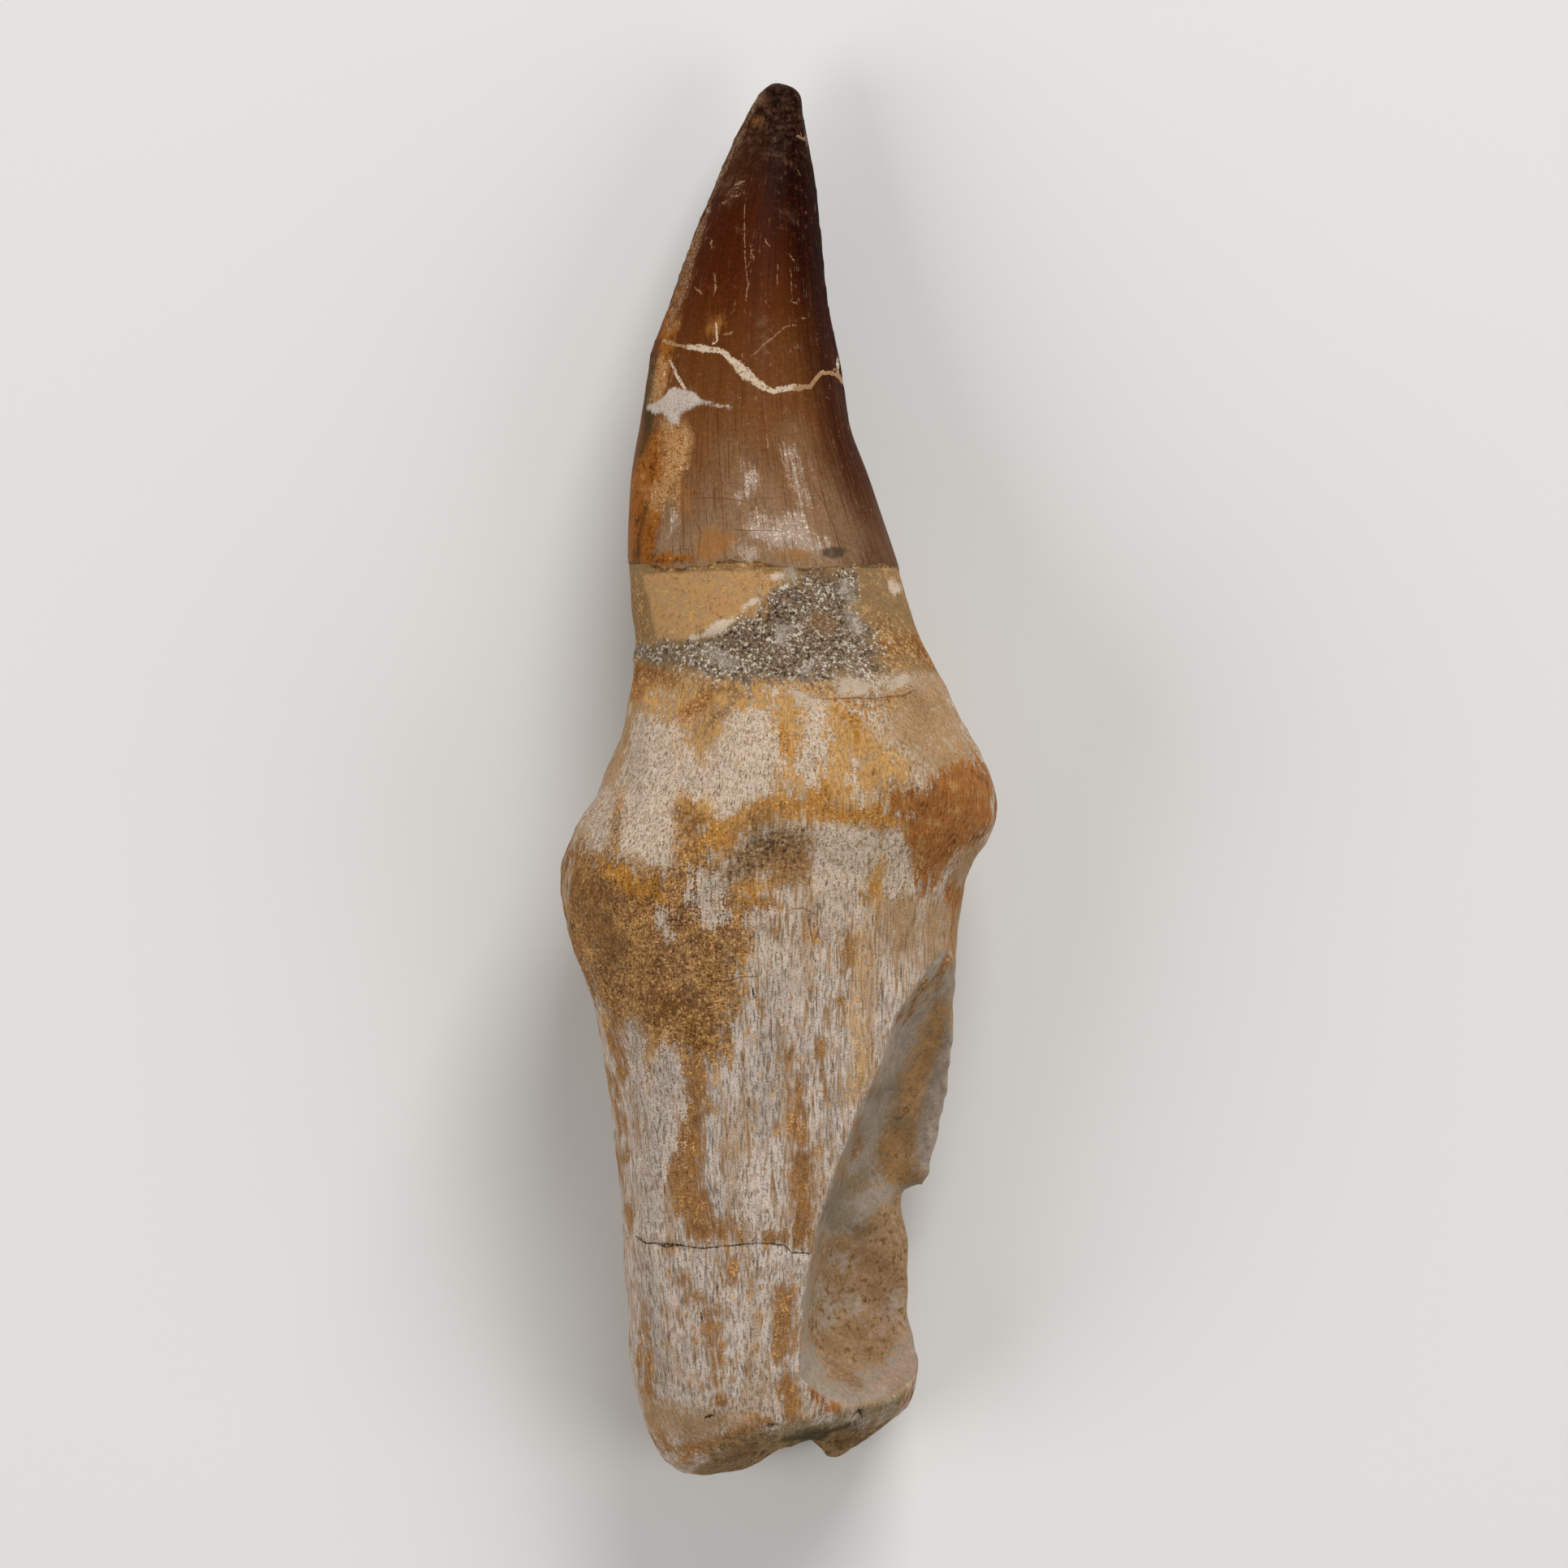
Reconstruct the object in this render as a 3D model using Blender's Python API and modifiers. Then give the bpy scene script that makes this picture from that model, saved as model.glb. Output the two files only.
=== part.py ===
"""Fossil mosasaur tooth with its root, one solid, lying on its back on a flat surface.

Frame: metres, +Z up. The tooth lies along Y with the tip of its crown at +Y. The face that
shows lies uppermost, at +Z, and the hollow of the replacement tooth opens towards +X and +Z.
The origin is on the surface, under the middle of the tooth.

The body is a loft: one ring of points for each distance from the tip, fitted to four smooth
profiles. Cutters then hollow the root where the next tooth grew, break away the thin wall
beside that hollow and open the pulp cavity in the base. Last, the edges are worn round and
the surface is thinned to few facets. Lengths are in millimetres up to the loft's last step.
"""

import math

import bmesh
import bpy
import numpy as np
from mathutils import Euler, Vector, noise

MM = 0.001

# Driving dimensions
LENGTH = 130.0
TIP_RADIUS = 1.9
BASE_CORNER = 9.5
BASE_EDGE = 2.4
BASE_END = 128.5
ENAMEL_END = 44.9
NECK_END = 56.6
RING_STEP = 1.0
RING_POINTS = 80
END_RING_TURNS = range(12, 90, 13)
END_ROUNDNESS = 2.6

# Profiles seen from above: distance from the tip, then X of the edge
LEFT_EDGE = [
    (0.0, -1.9), (2.7, -3.1), (6.4, -4.8), (14.0, -7.9), (21.6, -10.6), (24.9, -11.9),
    (27.3, -12.3), (34.9, -13.5), (41.0, -14.1), (47.0, -14.0), (52.7, -13.5), (56.0, -13.8),
    (60.0, -14.7), (64.5, -16.4), (68.5, -18.7), (71.6, -19.9), (75.0, -20.4), (78.0, -20.0),
    (84.1, -17.9), (88.5, -16.8), (99.3, -15.2), (112.6, -14.2), (121.0, -13.4), (130.0, -11.6),
]
RIGHT_EDGE = [
    (0.0, 1.6), (2.7, 2.3), (6.4, 2.9), (15.9, 3.9), (23.5, 5.2), (31.1, 6.5),
    (36.5, 8.2), (42.4, 10.3), (50.0, 12.6), (56.0, 15.4), (61.4, 18.2), (64.3, 19.7),
    (66.7, 20.3), (68.2, 20.4), (69.6, 19.9), (73.5, 17.5), (77.0, 16.7), (87.9, 16.4),
    (95.5, 16.0), (102.0, 15.3), (112.0, 14.2), (120.0, 13.3), (130.0, 12.4),
]

# Profiles seen from the side: distance from the tip, then Z of the front and of the back
FRONT_EDGE = [
    (0.0, 8.3), (6.0, 10.3), (15.0, 13.9), (30.0, 18.5), (44.9, 22.3), (52.0, 23.9),
    (60.0, 26.9), (66.0, 29.6), (69.0, 30.1), (73.0, 29.4), (80.0, 28.3), (90.0, 27.0),
    (105.0, 25.2), (118.0, 23.4), (130.0, 21.2),
]
BACK_EDGE = [
    (0.0, 5.3), (6.0, 4.6), (15.0, 4.1), (30.0, 3.7), (44.9, 3.2), (56.0, 2.2),
    (66.0, 0.7), (73.0, 0.0), (80.0, 0.5), (92.0, 1.3), (106.0, 0.9), (117.0, 0.0),
    (123.0, 0.0), (130.0, 0.8),
]
# The ridge of the bulge runs askew over the front: lower on the left than on the right
RIDGE_SLANT = 0.32
RIDGE_SPAN = (50.0, 62.0, 80.0, 96.0)

# Roundness of the rings: 2 is an ellipse, more is a rounded box, less is a lens with a keel on each side
ROUNDNESS = [
    (0.0, 1.9), (8.0, 1.65), (30.0, 1.7), (44.9, 1.95), (60.0, 2.1), (73.0, 2.15),
    (100.0, 2.25), (130.0, 2.4),
]
# Height of the widest line, as a share of each ring's depth
WAIST = [(0.0, 0.5), (44.9, 0.47), (73.0, 0.48), (100.0, 0.46), (130.0, 0.5)]

# The base is askew: its left side and its back reach further down
BASE_SKEW = 0.2
BASE_LEAN = 0.17
SKEW_START = 92.0

# Low swellings and dips: X, distance from the tip, radius along X, radius along Y, height
FRONT_LUMPS = {
    "swelling of the bulge, left": (-13.5, 79.5, 6.5, 8.5, 1.0),
    "swelling of the bulge, right": (13.0, 66.8, 7.0, 4.5, 1.0),
    "dip under the ridge": (-1.8, 72.6, 5.5, 3.6, -1.0),
    "dip in the right end of the ridge": (13.2, 68.2, 1.6, 1.6, -0.5),
    "flute beside the bulge": (4.5, 84.0, 2.4, 11.0, -0.45),
    "rib above the hollow": (9.6, 83.0, 2.6, 8.0, 0.55),
    "flute down the root, left": (-8.6, 101.0, 2.0, 15.0, -0.55),
    "rib down the root, left": (-11.9, 103.0, 1.5, 13.0, 0.4),
    "rib down the root, middle": (-2.6, 104.0, 3.4, 14.0, 0.45),
    "dip of the neck": (4.5, 51.2, 9.0, 3.6, -0.6),
    "swelling under the lip": (-3.0, 60.5, 9.0, 3.0, 0.35),
}
BACK_LUMPS = {
    "swelling of the back, left": (-12.0, 71.0, 6.0, 7.0, 0.9),
    "dip of the back": (3.0, 86.0, 7.0, 12.0, -0.8),
    "rib of the back": (-5.0, 98.0, 2.6, 17.0, 0.5),
    "flute of the back": (-10.0, 100.0, 2.2, 14.0, -0.5),
    "dip in the back of the base": (2.0, 119.0, 5.0, 5.0, -0.6),
}
SIDE_FADE = 4.0

# The keels of the crown, half as wide as this many points of a ring
KEEL_HEIGHT = 0.5
KEEL_HALF_WIDTH = 2.0
KEEL_SPAN = (3.0, 10.0, 24.0, 33.0)

# The wavy edge of the enamel, a step down to the neck, and the lip of bone below the neck
ENAMEL_STEP = 0.2
ENAMEL_STEP_SPAN = (0.0, 0.8, 1.0, 7.0)
ENAMEL_WAVE = 0.7
ENAMEL_WAVE_X = 0.45
ENAMEL_WAVE_Z = 0.3
LIP_HEIGHT = 0.45
LIP_SPAN = (-1.0, 0.2, 1.0, 7.0)
LIP_WAVE = 0.8
LIP_WAVE_X = 0.5
LIP_LEFT_X = -10.0

# Slow swelling of the whole surface, less on the crown
UNEVENNESS = 0.35
UNEVEN_SCALE = 7.0
UNEVEN_FALL = 1.0
UNEVEN_GAP = 2.0
UNEVEN_OCTAVES = 2
CROWN_SHARE = 0.3

# The hollow of the replacement tooth: distance from the tip, X of its rim, Z of its floor at the
# foot of the rim's wall, half way across and at the outer side
HOLLOW = [
    (77.5, 19.5, 19.0, 18.5, 18.5),
    (80.0, 15.8, 17.0, 16.5, 16.5),
    (83.5, 13.1, 15.0, 14.0, 15.0),
    (86.7, 10.9, 13.0, 12.0, 13.6),
    (90.6, 9.6, 10.5, 9.6, 12.2),
    (95.8, 7.3, 8.8, 8.0, 9.6),
    (99.0, 6.0, 8.6, 7.4, 7.6),
    (102.2, 4.9, 9.4, 7.8, 6.2),
    (104.4, 4.2, 12.0, 10.4, 7.6),
    (107.0, 3.4, 11.6, 10.4, 8.4),
    (113.3, 2.3, 11.4, 10.2, 8.8),
    (117.0, 2.0, 12.6, 11.0, 9.4),
    (119.6, 2.1, 14.8, 13.0, 11.0),
    (121.6, 2.6, 18.2, 16.6, 13.6),
    (123.6, 3.4, 22.8, 21.8, 17.6),
    (125.0, 4.0, 28.0, 28.0, 24.0),
]
# Its wall: X from the rim and Z above the floor's foot, down to where the floor begins
HOLLOW_WALL = ((0.1, 16.0), (0.3, 9.0), (0.8, 5.0), (1.7, 2.5), (3.4, 0.5))
HOLLOW_MIDDLE_SHIFT = 0.8
HOLLOW_EDGE_RISE = 1.0
HOLLOW_OUTER_X = 17.0
HOLLOW_LEAST_WIDTH = 5.5
HOLLOW_FAR_X = 28.0
HOLLOW_TOP = 45.0
HOLLOW_STEP = 1.0

# The break in the wall beside the hollow, seen from above: X and distance from the tip
BREAK = [
    (30.0, 101.2), (14.6, 103.3), (13.2, 103.6), (12.0, 104.2), (11.8, 105.2), (12.5, 109.0),
    (12.9, 115.2), (13.5, 118.4), (14.2, 121.2), (30.0, 122.8),
]
BREAK_HEIGHTS = (-5.0, 0.0, 3.0, 6.0, 9.0, 12.0, 15.0, 20.0)
BREAK_UNEVENNESS = 1.2
BREAK_LEAN = (-0.13, -0.24)

# Eggs cut out of the base: centre (X, distance from the tip, Z), radii, turn in degrees
PULP_CAVITY = ((3.0, 129.8, 11.4), (7.4, 6.2, 5.8), (-8.0, 14.0, -12.0))
PULP_CHANNEL = ((1.8, 125.4, 11.8), (3.4, 7.0, 2.6), (0.0, 20.0, -6.0))
RIM_NOTCH = ((1.9, 131.6, 4.0), (4.1, 5.0, 8.0), (0.0, 0.0, -10.0))
EGG_UNEVENNESS = 0.16
EGG_SEGMENTS = 32
EGG_RINGS = 20

# Wear of the edges and fineness of the facets
WEAR_VOXEL = 0.35
WEAR_PASSES = 12
FACETS_KEPT = 0.0415

BONE_COLOUR = (0.42, 0.31, 0.20, 1.0)
BONE_ROUGHNESS = 0.7


def smooth_value(places, values, at):
    """Value at each distance in the array at, on a smooth curve through the values at those places."""
    places, values = np.asarray(places), np.asarray(values)
    slopes = np.gradient(values, places)
    at = np.clip(at, places[0], places[-1])
    span = np.clip(np.searchsorted(places, at, side="right") - 1, 0, len(places) - 2)
    width = places[span + 1] - places[span]
    t = (at - places[span]) / width
    start = (2 * t**3 - 3 * t**2 + 1) * values[span] + (t**3 - 2 * t**2 + t) * width * slopes[span]
    end = (3 * t**2 - 2 * t**3) * values[span + 1] + (t**3 - t**2) * width * slopes[span + 1]
    return start + end


def follow(profile, at, column=1):
    """Value of a profile's column at each distance in the array at."""
    return smooth_value([row[0] for row in profile], [row[column] for row in profile], at)


def smooth_step(value, low, high):
    """0 below low, 1 above high and a smooth climb between them."""
    t = np.clip((value - low) / (high - low), 0.0, 1.0)
    return t * t * (3 - 2 * t)


def smooth_span(value, span):
    """0 outside the span's first and last values, 1 between its two middle values."""
    start, full, fading, end = span
    return smooth_step(value, start, full) * (1 - smooth_step(value, fading, end))


def unevenness(points):
    """Slow random swelling at each point, from -1 to 1."""
    places = points.reshape(-1, 3) / UNEVEN_SCALE
    return np.array([swell(place) for place in places]).reshape(points.shape[:-1])


def swell(place):
    """Slow random swelling at one place."""
    return noise.fractal(Vector(place), UNEVEN_FALL, UNEVEN_GAP, UNEVEN_OCTAVES)


def ring_places():
    """Distances of the rings from the tip, close together on both round ends."""
    quarter = np.radians(END_RING_TURNS)
    tip = TIP_RADIUS * (1 - np.cos(quarter))
    base = BASE_END - BASE_CORNER * (1 - np.sin(quarter))
    count = round((BASE_END - BASE_CORNER - TIP_RADIUS) / RING_STEP)
    body = np.linspace(TIP_RADIUS, BASE_END - BASE_CORNER, count + 1)
    return np.concatenate([tip, body, base])


def end_cap(place, base_rounding):
    """How far each ring is open, from 0 at the ends of the tooth to 1 along its body."""
    tip = np.clip(1 - place / TIP_RADIUS, 0.0, 1.0)
    base = np.clip(1 - (BASE_END - place) / base_rounding, 0.0, 1.0)
    return np.sqrt(1 - tip**2) * (1 - base**END_ROUNDNESS) ** (1 / END_ROUNDNESS)


def body_points():
    """Points of the loft, as an array of rings by points by X, distance from the tip and Z."""
    place = ring_places()[:, None]
    left, right = follow(LEFT_EDGE, place), follow(RIGHT_EDGE, place)
    back = follow(BACK_EDGE, place)
    middle_x = (left + right) / 2
    power = 2 / follow(ROUNDNESS, place)

    turn = np.radians(np.arange(RING_POINTS) * 360 / RING_POINTS)[None, :]
    across, up = np.cos(turn), np.sin(turn)
    across = np.sign(across) * np.abs(across) ** np.minimum(power, 1.0)
    up = np.sign(up) * np.abs(up) ** power
    x = middle_x + (right - left) / 2 * end_cap(place, BASE_CORNER) * across
    slant = RIDGE_SLANT * smooth_span(place, RIDGE_SPAN) * x
    front = follow(FRONT_EDGE, place + slant)
    waist_z = back + follow(WAIST, place) * (follow(FRONT_EDGE, place) - back)
    height = np.where(up > 0, front - waist_z, waist_z - back)
    z = waist_z + height * end_cap(place, BASE_EDGE) * up
    at_base = smooth_step(place, SKEW_START, BASE_END)
    along = place - at_base * (BASE_SKEW * (x - middle_x) + BASE_LEAN * (z - waist_z))
    return np.stack([x, along, z], axis=-1)


def lumps(table, x, along):
    """Sum of a table's swellings and dips at each point."""
    push = np.zeros_like(x)
    for lump_x, lump_along, radius_x, radius_along, height in table.values():
        away = ((x - lump_x) / radius_x) ** 2 + ((along - lump_along) / radius_along) ** 2
        push += height * np.exp(-away)
    return push


def relief(points):
    """How far each point of the loft is pushed out from its ring's middle."""
    x, along, z = points[..., 0], points[..., 1], points[..., 2]
    middle = (z.max(axis=1) + z.min(axis=1))[:, None] / 2
    in_front = smooth_step(z - middle, 0.0, SIDE_FADE)
    in_back = smooth_step(middle - z, 0.0, SIDE_FADE)
    push = lumps(FRONT_LUMPS, x, along) * in_front + lumps(BACK_LUMPS, x, along) * in_back

    quarter = RING_POINTS / 4
    from_keel = np.abs((np.arange(RING_POINTS) + quarter) % (2 * quarter) - quarter)
    push += KEEL_HEIGHT * np.maximum(1 - from_keel / KEEL_HALF_WIDTH, 0.0) * smooth_span(along, KEEL_SPAN)

    enamel_end = ENAMEL_END + ENAMEL_WAVE * np.sin(ENAMEL_WAVE_X * x + ENAMEL_WAVE_Z * z)
    push -= ENAMEL_STEP * smooth_span(along - enamel_end, ENAMEL_STEP_SPAN)

    lip = smooth_span(along - NECK_END - LIP_WAVE * np.sin(LIP_WAVE_X * x), LIP_SPAN)
    push += LIP_HEIGHT * lip * smooth_step(x, LIP_LEFT_X, 0.0) * in_front

    share = CROWN_SHARE + (1 - CROWN_SHARE) * smooth_step(along, ENAMEL_END, NECK_END)
    return push + UNEVENNESS * unevenness(points) * share


def to_frame(x, along, z):
    """Millimetres from the tip to a place in the frame, in metres."""
    return Vector((x, LENGTH / 2 - along, z)) * MM


def loft(name, rings, collection):
    """A closed object through rings of points, with both ends filled."""
    bm = bmesh.new()
    loops = [[bm.verts.new(to_frame(*point)) for point in ring] for ring in rings]
    for one, two in zip(loops, loops[1:]):
        for i in range(len(one)):
            j = (i + 1) % len(one)
            bm.faces.new((one[i], one[j], two[j], two[i]))
    bm.faces.new(loops[0])
    bm.faces.new(loops[-1])
    bmesh.ops.recalc_face_normals(bm, faces=bm.faces)
    return add_object(name, bm, collection)


def add_object(name, bm, collection):
    """An object made from a mesh under construction."""
    mesh = bpy.data.meshes.new(name)
    bm.to_mesh(mesh)
    bm.free()
    made = bpy.data.objects.new(name, mesh)
    collection.objects.link(made)
    return made


def tooth_body(collection):
    """The crown and root as one closed loft, before the root is hollowed."""
    points = body_points()
    outward = points - points.mean(axis=1, keepdims=True)
    outward /= np.linalg.norm(outward, axis=-1, keepdims=True)
    return loft("tooth", points + outward * relief(points)[..., None], collection)


def hollow_section(rim_x, foot_z, middle_z, outer_z):
    """Section of the hollow's cutter across X and Z: the rim's wall, the floor and round above the tooth."""
    outer_x = max(HOLLOW_OUTER_X, rim_x + HOLLOW_LEAST_WIDTH)
    middle_x = (rim_x + outer_x) / 2 + HOLLOW_MIDDLE_SHIFT
    wall = [(rim_x + across, foot_z + up) for across, up in HOLLOW_WALL]
    floor = [
        (middle_x, middle_z),
        (outer_x - HOLLOW_MIDDLE_SHIFT, (middle_z + 2 * outer_z) / 3),
        (HOLLOW_FAR_X, outer_z + HOLLOW_EDGE_RISE),
    ]
    return [(rim_x, HOLLOW_TOP), *wall, *floor, (HOLLOW_FAR_X, HOLLOW_TOP)]


def hollow_cutter(collection):
    """The scoop that the next tooth left in the root's right side."""
    count = round((HOLLOW[-1][0] - HOLLOW[0][0]) / HOLLOW_STEP)
    rings = []
    for along in np.linspace(HOLLOW[0][0], HOLLOW[-1][0], count + 1):
        rim_x, foot_z, middle_z, outer_z = (follow(HOLLOW, along, column) for column in (1, 2, 3, 4))
        ring = np.array([(x, along, z) for x, z in hollow_section(rim_x, foot_z, middle_z, outer_z)])
        ring[:, 2] += UNEVENNESS * unevenness(ring)
        rings.append(ring)
    return loft("hollow", rings, collection)


def break_cutter(collection):
    """A leaning prism that breaks away the thin wall beside the hollow."""
    lean_x, lean_along = BREAK_LEAN
    outline = [[(x + lean_x * z, along + lean_along * z, z) for x, along in BREAK] for z in BREAK_HEIGHTS]
    rings = np.array(outline)
    rings[..., :2] += BREAK_UNEVENNESS * unevenness(rings)[..., None]
    return loft("wall_break", rings, collection)


def egg_cutter(name, shape, collection):
    """A cutter in the form of an egg, from its centre, radii and turn."""
    centre, radii, turn = shape
    bm = bmesh.new()
    bmesh.ops.create_uvsphere(bm, u_segments=EGG_SEGMENTS, v_segments=EGG_RINGS, radius=1.0)
    for vertex in bm.verts:
        vertex.co *= 1 + EGG_UNEVENNESS * swell(2 * vertex.co + Vector(centre))
    bmesh.ops.scale(bm, vec=Vector(radii) * MM, verts=bm.verts)
    made = add_object(name, bm, collection)
    made.location = to_frame(*centre)
    made.rotation_euler = Euler([math.radians(angle) for angle in turn])
    return made


def cut(body, cutter):
    """Takes the cutter's form out of the body."""
    cutter.hide_render = True
    cutter.display_type = "WIRE"
    modifier = body.modifiers.new(cutter.name, "BOOLEAN")
    modifier.operation = "DIFFERENCE"
    modifier.object = cutter
    modifier.solver = "EXACT"


def wear(body):
    """Rounds the broken edges, as water and sand do, and thins the surface to few facets."""
    remesh = body.modifiers.new("wear", "REMESH")
    remesh.mode = "VOXEL"
    remesh.voxel_size = WEAR_VOXEL * MM
    smooth = body.modifiers.new("wear_smooth", "SMOOTH")
    smooth.iterations = WEAR_PASSES
    facets = body.modifiers.new("facets", "DECIMATE")
    facets.ratio = FACETS_KEPT
    facets.use_collapse_triangulate = True


def settle(body):
    """Fixes the shape, and moves it to lie on the origin's plane with its middle over the origin."""
    bpy.context.view_layer.update()
    evaluated = body.evaluated_get(bpy.context.evaluated_depsgraph_get())
    mesh = bpy.data.meshes.new_from_object(evaluated)
    mesh.name = body.name
    body.modifiers.clear()
    body.data = mesh
    places = np.array([vertex.co for vertex in mesh.vertices])
    low, high = places.min(axis=0), places.max(axis=0)
    offset = Vector(((low[0] + high[0]) / 2, (low[1] + high[1]) / 2, low[2]))
    for vertex in mesh.vertices:
        vertex.co -= offset


def bone_material():
    """A plain surface in the mean colour of the fossil bone."""
    made = bpy.data.materials.new("fossil_bone")
    made.use_nodes = True
    shader = made.node_tree.nodes["Principled BSDF"]
    shader.inputs["Base Color"].default_value = BONE_COLOUR
    shader.inputs["Roughness"].default_value = BONE_ROUGHNESS
    return made


def main():
    for old in list(bpy.data.objects):
        bpy.data.objects.remove(old)
    parts = bpy.data.collections.new("mosasaur_tooth")
    cutters = bpy.data.collections.new("cutters")
    bpy.context.scene.collection.children.link(parts)
    bpy.context.scene.collection.children.link(cutters)

    tooth = tooth_body(parts)
    cut(tooth, hollow_cutter(cutters))
    cut(tooth, break_cutter(cutters))
    cut(tooth, egg_cutter("pulp_cavity", PULP_CAVITY, cutters))
    cut(tooth, egg_cutter("pulp_channel", PULP_CHANNEL, cutters))
    cut(tooth, egg_cutter("rim_notch", RIM_NOTCH, cutters))
    wear(tooth)
    settle(tooth)
    tooth.data.materials.clear()
    tooth.data.materials.append(bone_material())


main()
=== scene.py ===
"""Looks of the fossil mosasaur tooth: its fine surface, colours, floor, light and camera.

Frame: metres, +Z up. The tooth lies along Y with its tip at +Y and its showing face at +Z.
Inside the script lengths are in millimetres, and places on the showing face are pixels of the
photograph, which looks straight down: its columns run along X and its rows against Y.
"""

import functools

import bmesh
import bpy
import numpy as np
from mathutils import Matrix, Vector, noise

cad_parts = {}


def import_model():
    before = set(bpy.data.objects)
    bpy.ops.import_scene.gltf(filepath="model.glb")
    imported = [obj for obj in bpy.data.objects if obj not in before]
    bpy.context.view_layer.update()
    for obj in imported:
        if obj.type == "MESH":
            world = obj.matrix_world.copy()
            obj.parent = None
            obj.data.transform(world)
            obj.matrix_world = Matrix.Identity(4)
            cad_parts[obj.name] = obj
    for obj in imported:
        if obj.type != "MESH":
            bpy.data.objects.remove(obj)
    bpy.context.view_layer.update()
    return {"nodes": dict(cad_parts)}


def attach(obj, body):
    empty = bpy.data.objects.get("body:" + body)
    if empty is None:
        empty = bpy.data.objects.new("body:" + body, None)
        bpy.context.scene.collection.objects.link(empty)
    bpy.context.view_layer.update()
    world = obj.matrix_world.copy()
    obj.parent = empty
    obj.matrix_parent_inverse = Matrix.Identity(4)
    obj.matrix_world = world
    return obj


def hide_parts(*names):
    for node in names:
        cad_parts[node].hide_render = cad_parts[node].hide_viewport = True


MM = 0.001

# The photograph: its size, the pixel over the frame's origin, and the tooth's length in it
PHOTO_SIZE = 1932
ORIGIN_COLUMN = 959.5
ORIGIN_ROW = 962.5
LENGTH = 130.0
LENGTH_PIXELS = 1715
PIXEL = LENGTH / LENGTH_PIXELS
TIP_Y = LENGTH / 2

# The fine mesh, and the slices along the tooth in which its axis is found
VOXEL = 0.385
SMOOTHING = 5
HOLLOW_BORDER = 0.5
HOLLOW_SMOOTHING = 40
FACES_UP = 0.1
WALL_SMOOTHING = 12
WALL_COLUMN = 1124
WALL_ROWS = (1190, 1452)
SLICE = 1.0
SLICE_BLUR = 21

# Radius of the cylinder that the crown's surface is unrolled on for its fine lines
FLOW_RADIUS = 12.0

# Where the tooth's parts begin or end, as distance from the tip, and the waves of the enamel's edge
ENAMEL_END = 44.9
EDGE_WAVE = 0.35
EDGE_BITES = 0.35
NECK_END = 56.6
ROOT_START = 55.0

# The back repeats the front's zones, pushed about by slow noise
BACK_START = 0.0
BACK_FULL = -0.6
WARP_COLUMNS = 150.0
WARP_ROWS = 210.0
WARP_SCALE = 16.0

# Steep places, which the photograph shows from their edge, break up its stretched marks
STEEP_START = 0.65
STEEP_FULL = 0.2
STEEP_WARP = 22.0
STEEP_SCALE = 3.4

# How far from the hollow the whole back counts, so that it has none of its own
NO_HOLLOW = 5.0

# Heights of the fine relief
FIBRES = 0.09
LUMPS = 0.16
NECK_LUMPS = 0.08
OCHRE_GRAINS = 0.09
SAND_RISE = 0.16
SAND_GRAINS = 0.2
ENAMEL_RISE = 0.1
ENAMEL_RIPPLES = 0.03
CRACK_DEPTH = 0.22
FILLER_DEPTH = 0.06

# Zones that stand out and zones with coarse grains: the height, and half the width of the edge
RAISED = {"tan": (0.1, 0.15), "flake": (0.24, 0.12), "plaster": (0.12, 0.15)}
GRAINY = {"face_grain": (0.16, 0.4), "keel": (0.18, 0.3)}

# Size of a grain of sand, and the height over which the enamel's tones are spread
CELL_SIZE = 0.27
TONES_HEIGHT = 50.0

# Floor and lights, in metres; each light has its place, its size and its power
FLOOR_SIZE = 6.0
FLOOR_COLOUR = (0.78, 0.77, 0.75, 1.0)
WORLD_COLOUR = (1.0, 0.98, 0.95, 1.0)
WORLD_STRENGTH = 0.2
LIGHTS = {
    "key": ((0.35, 1.05, 0.8), 0.7, 14.0),
    "left": ((-0.95, -0.3, 0.7), 0.8, 6.6),
    "right": ((0.95, -0.4, 0.7), 0.8, 4.2),
}
LIGHT_AIM = (0.0, 0.0, 0.01)

# Camera, and the height at which the tooth is widest, whose outline the photograph shows
LENS = 300.0
SENSOR = 36.0
SILHOUETTE_Z = 13.0

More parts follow.
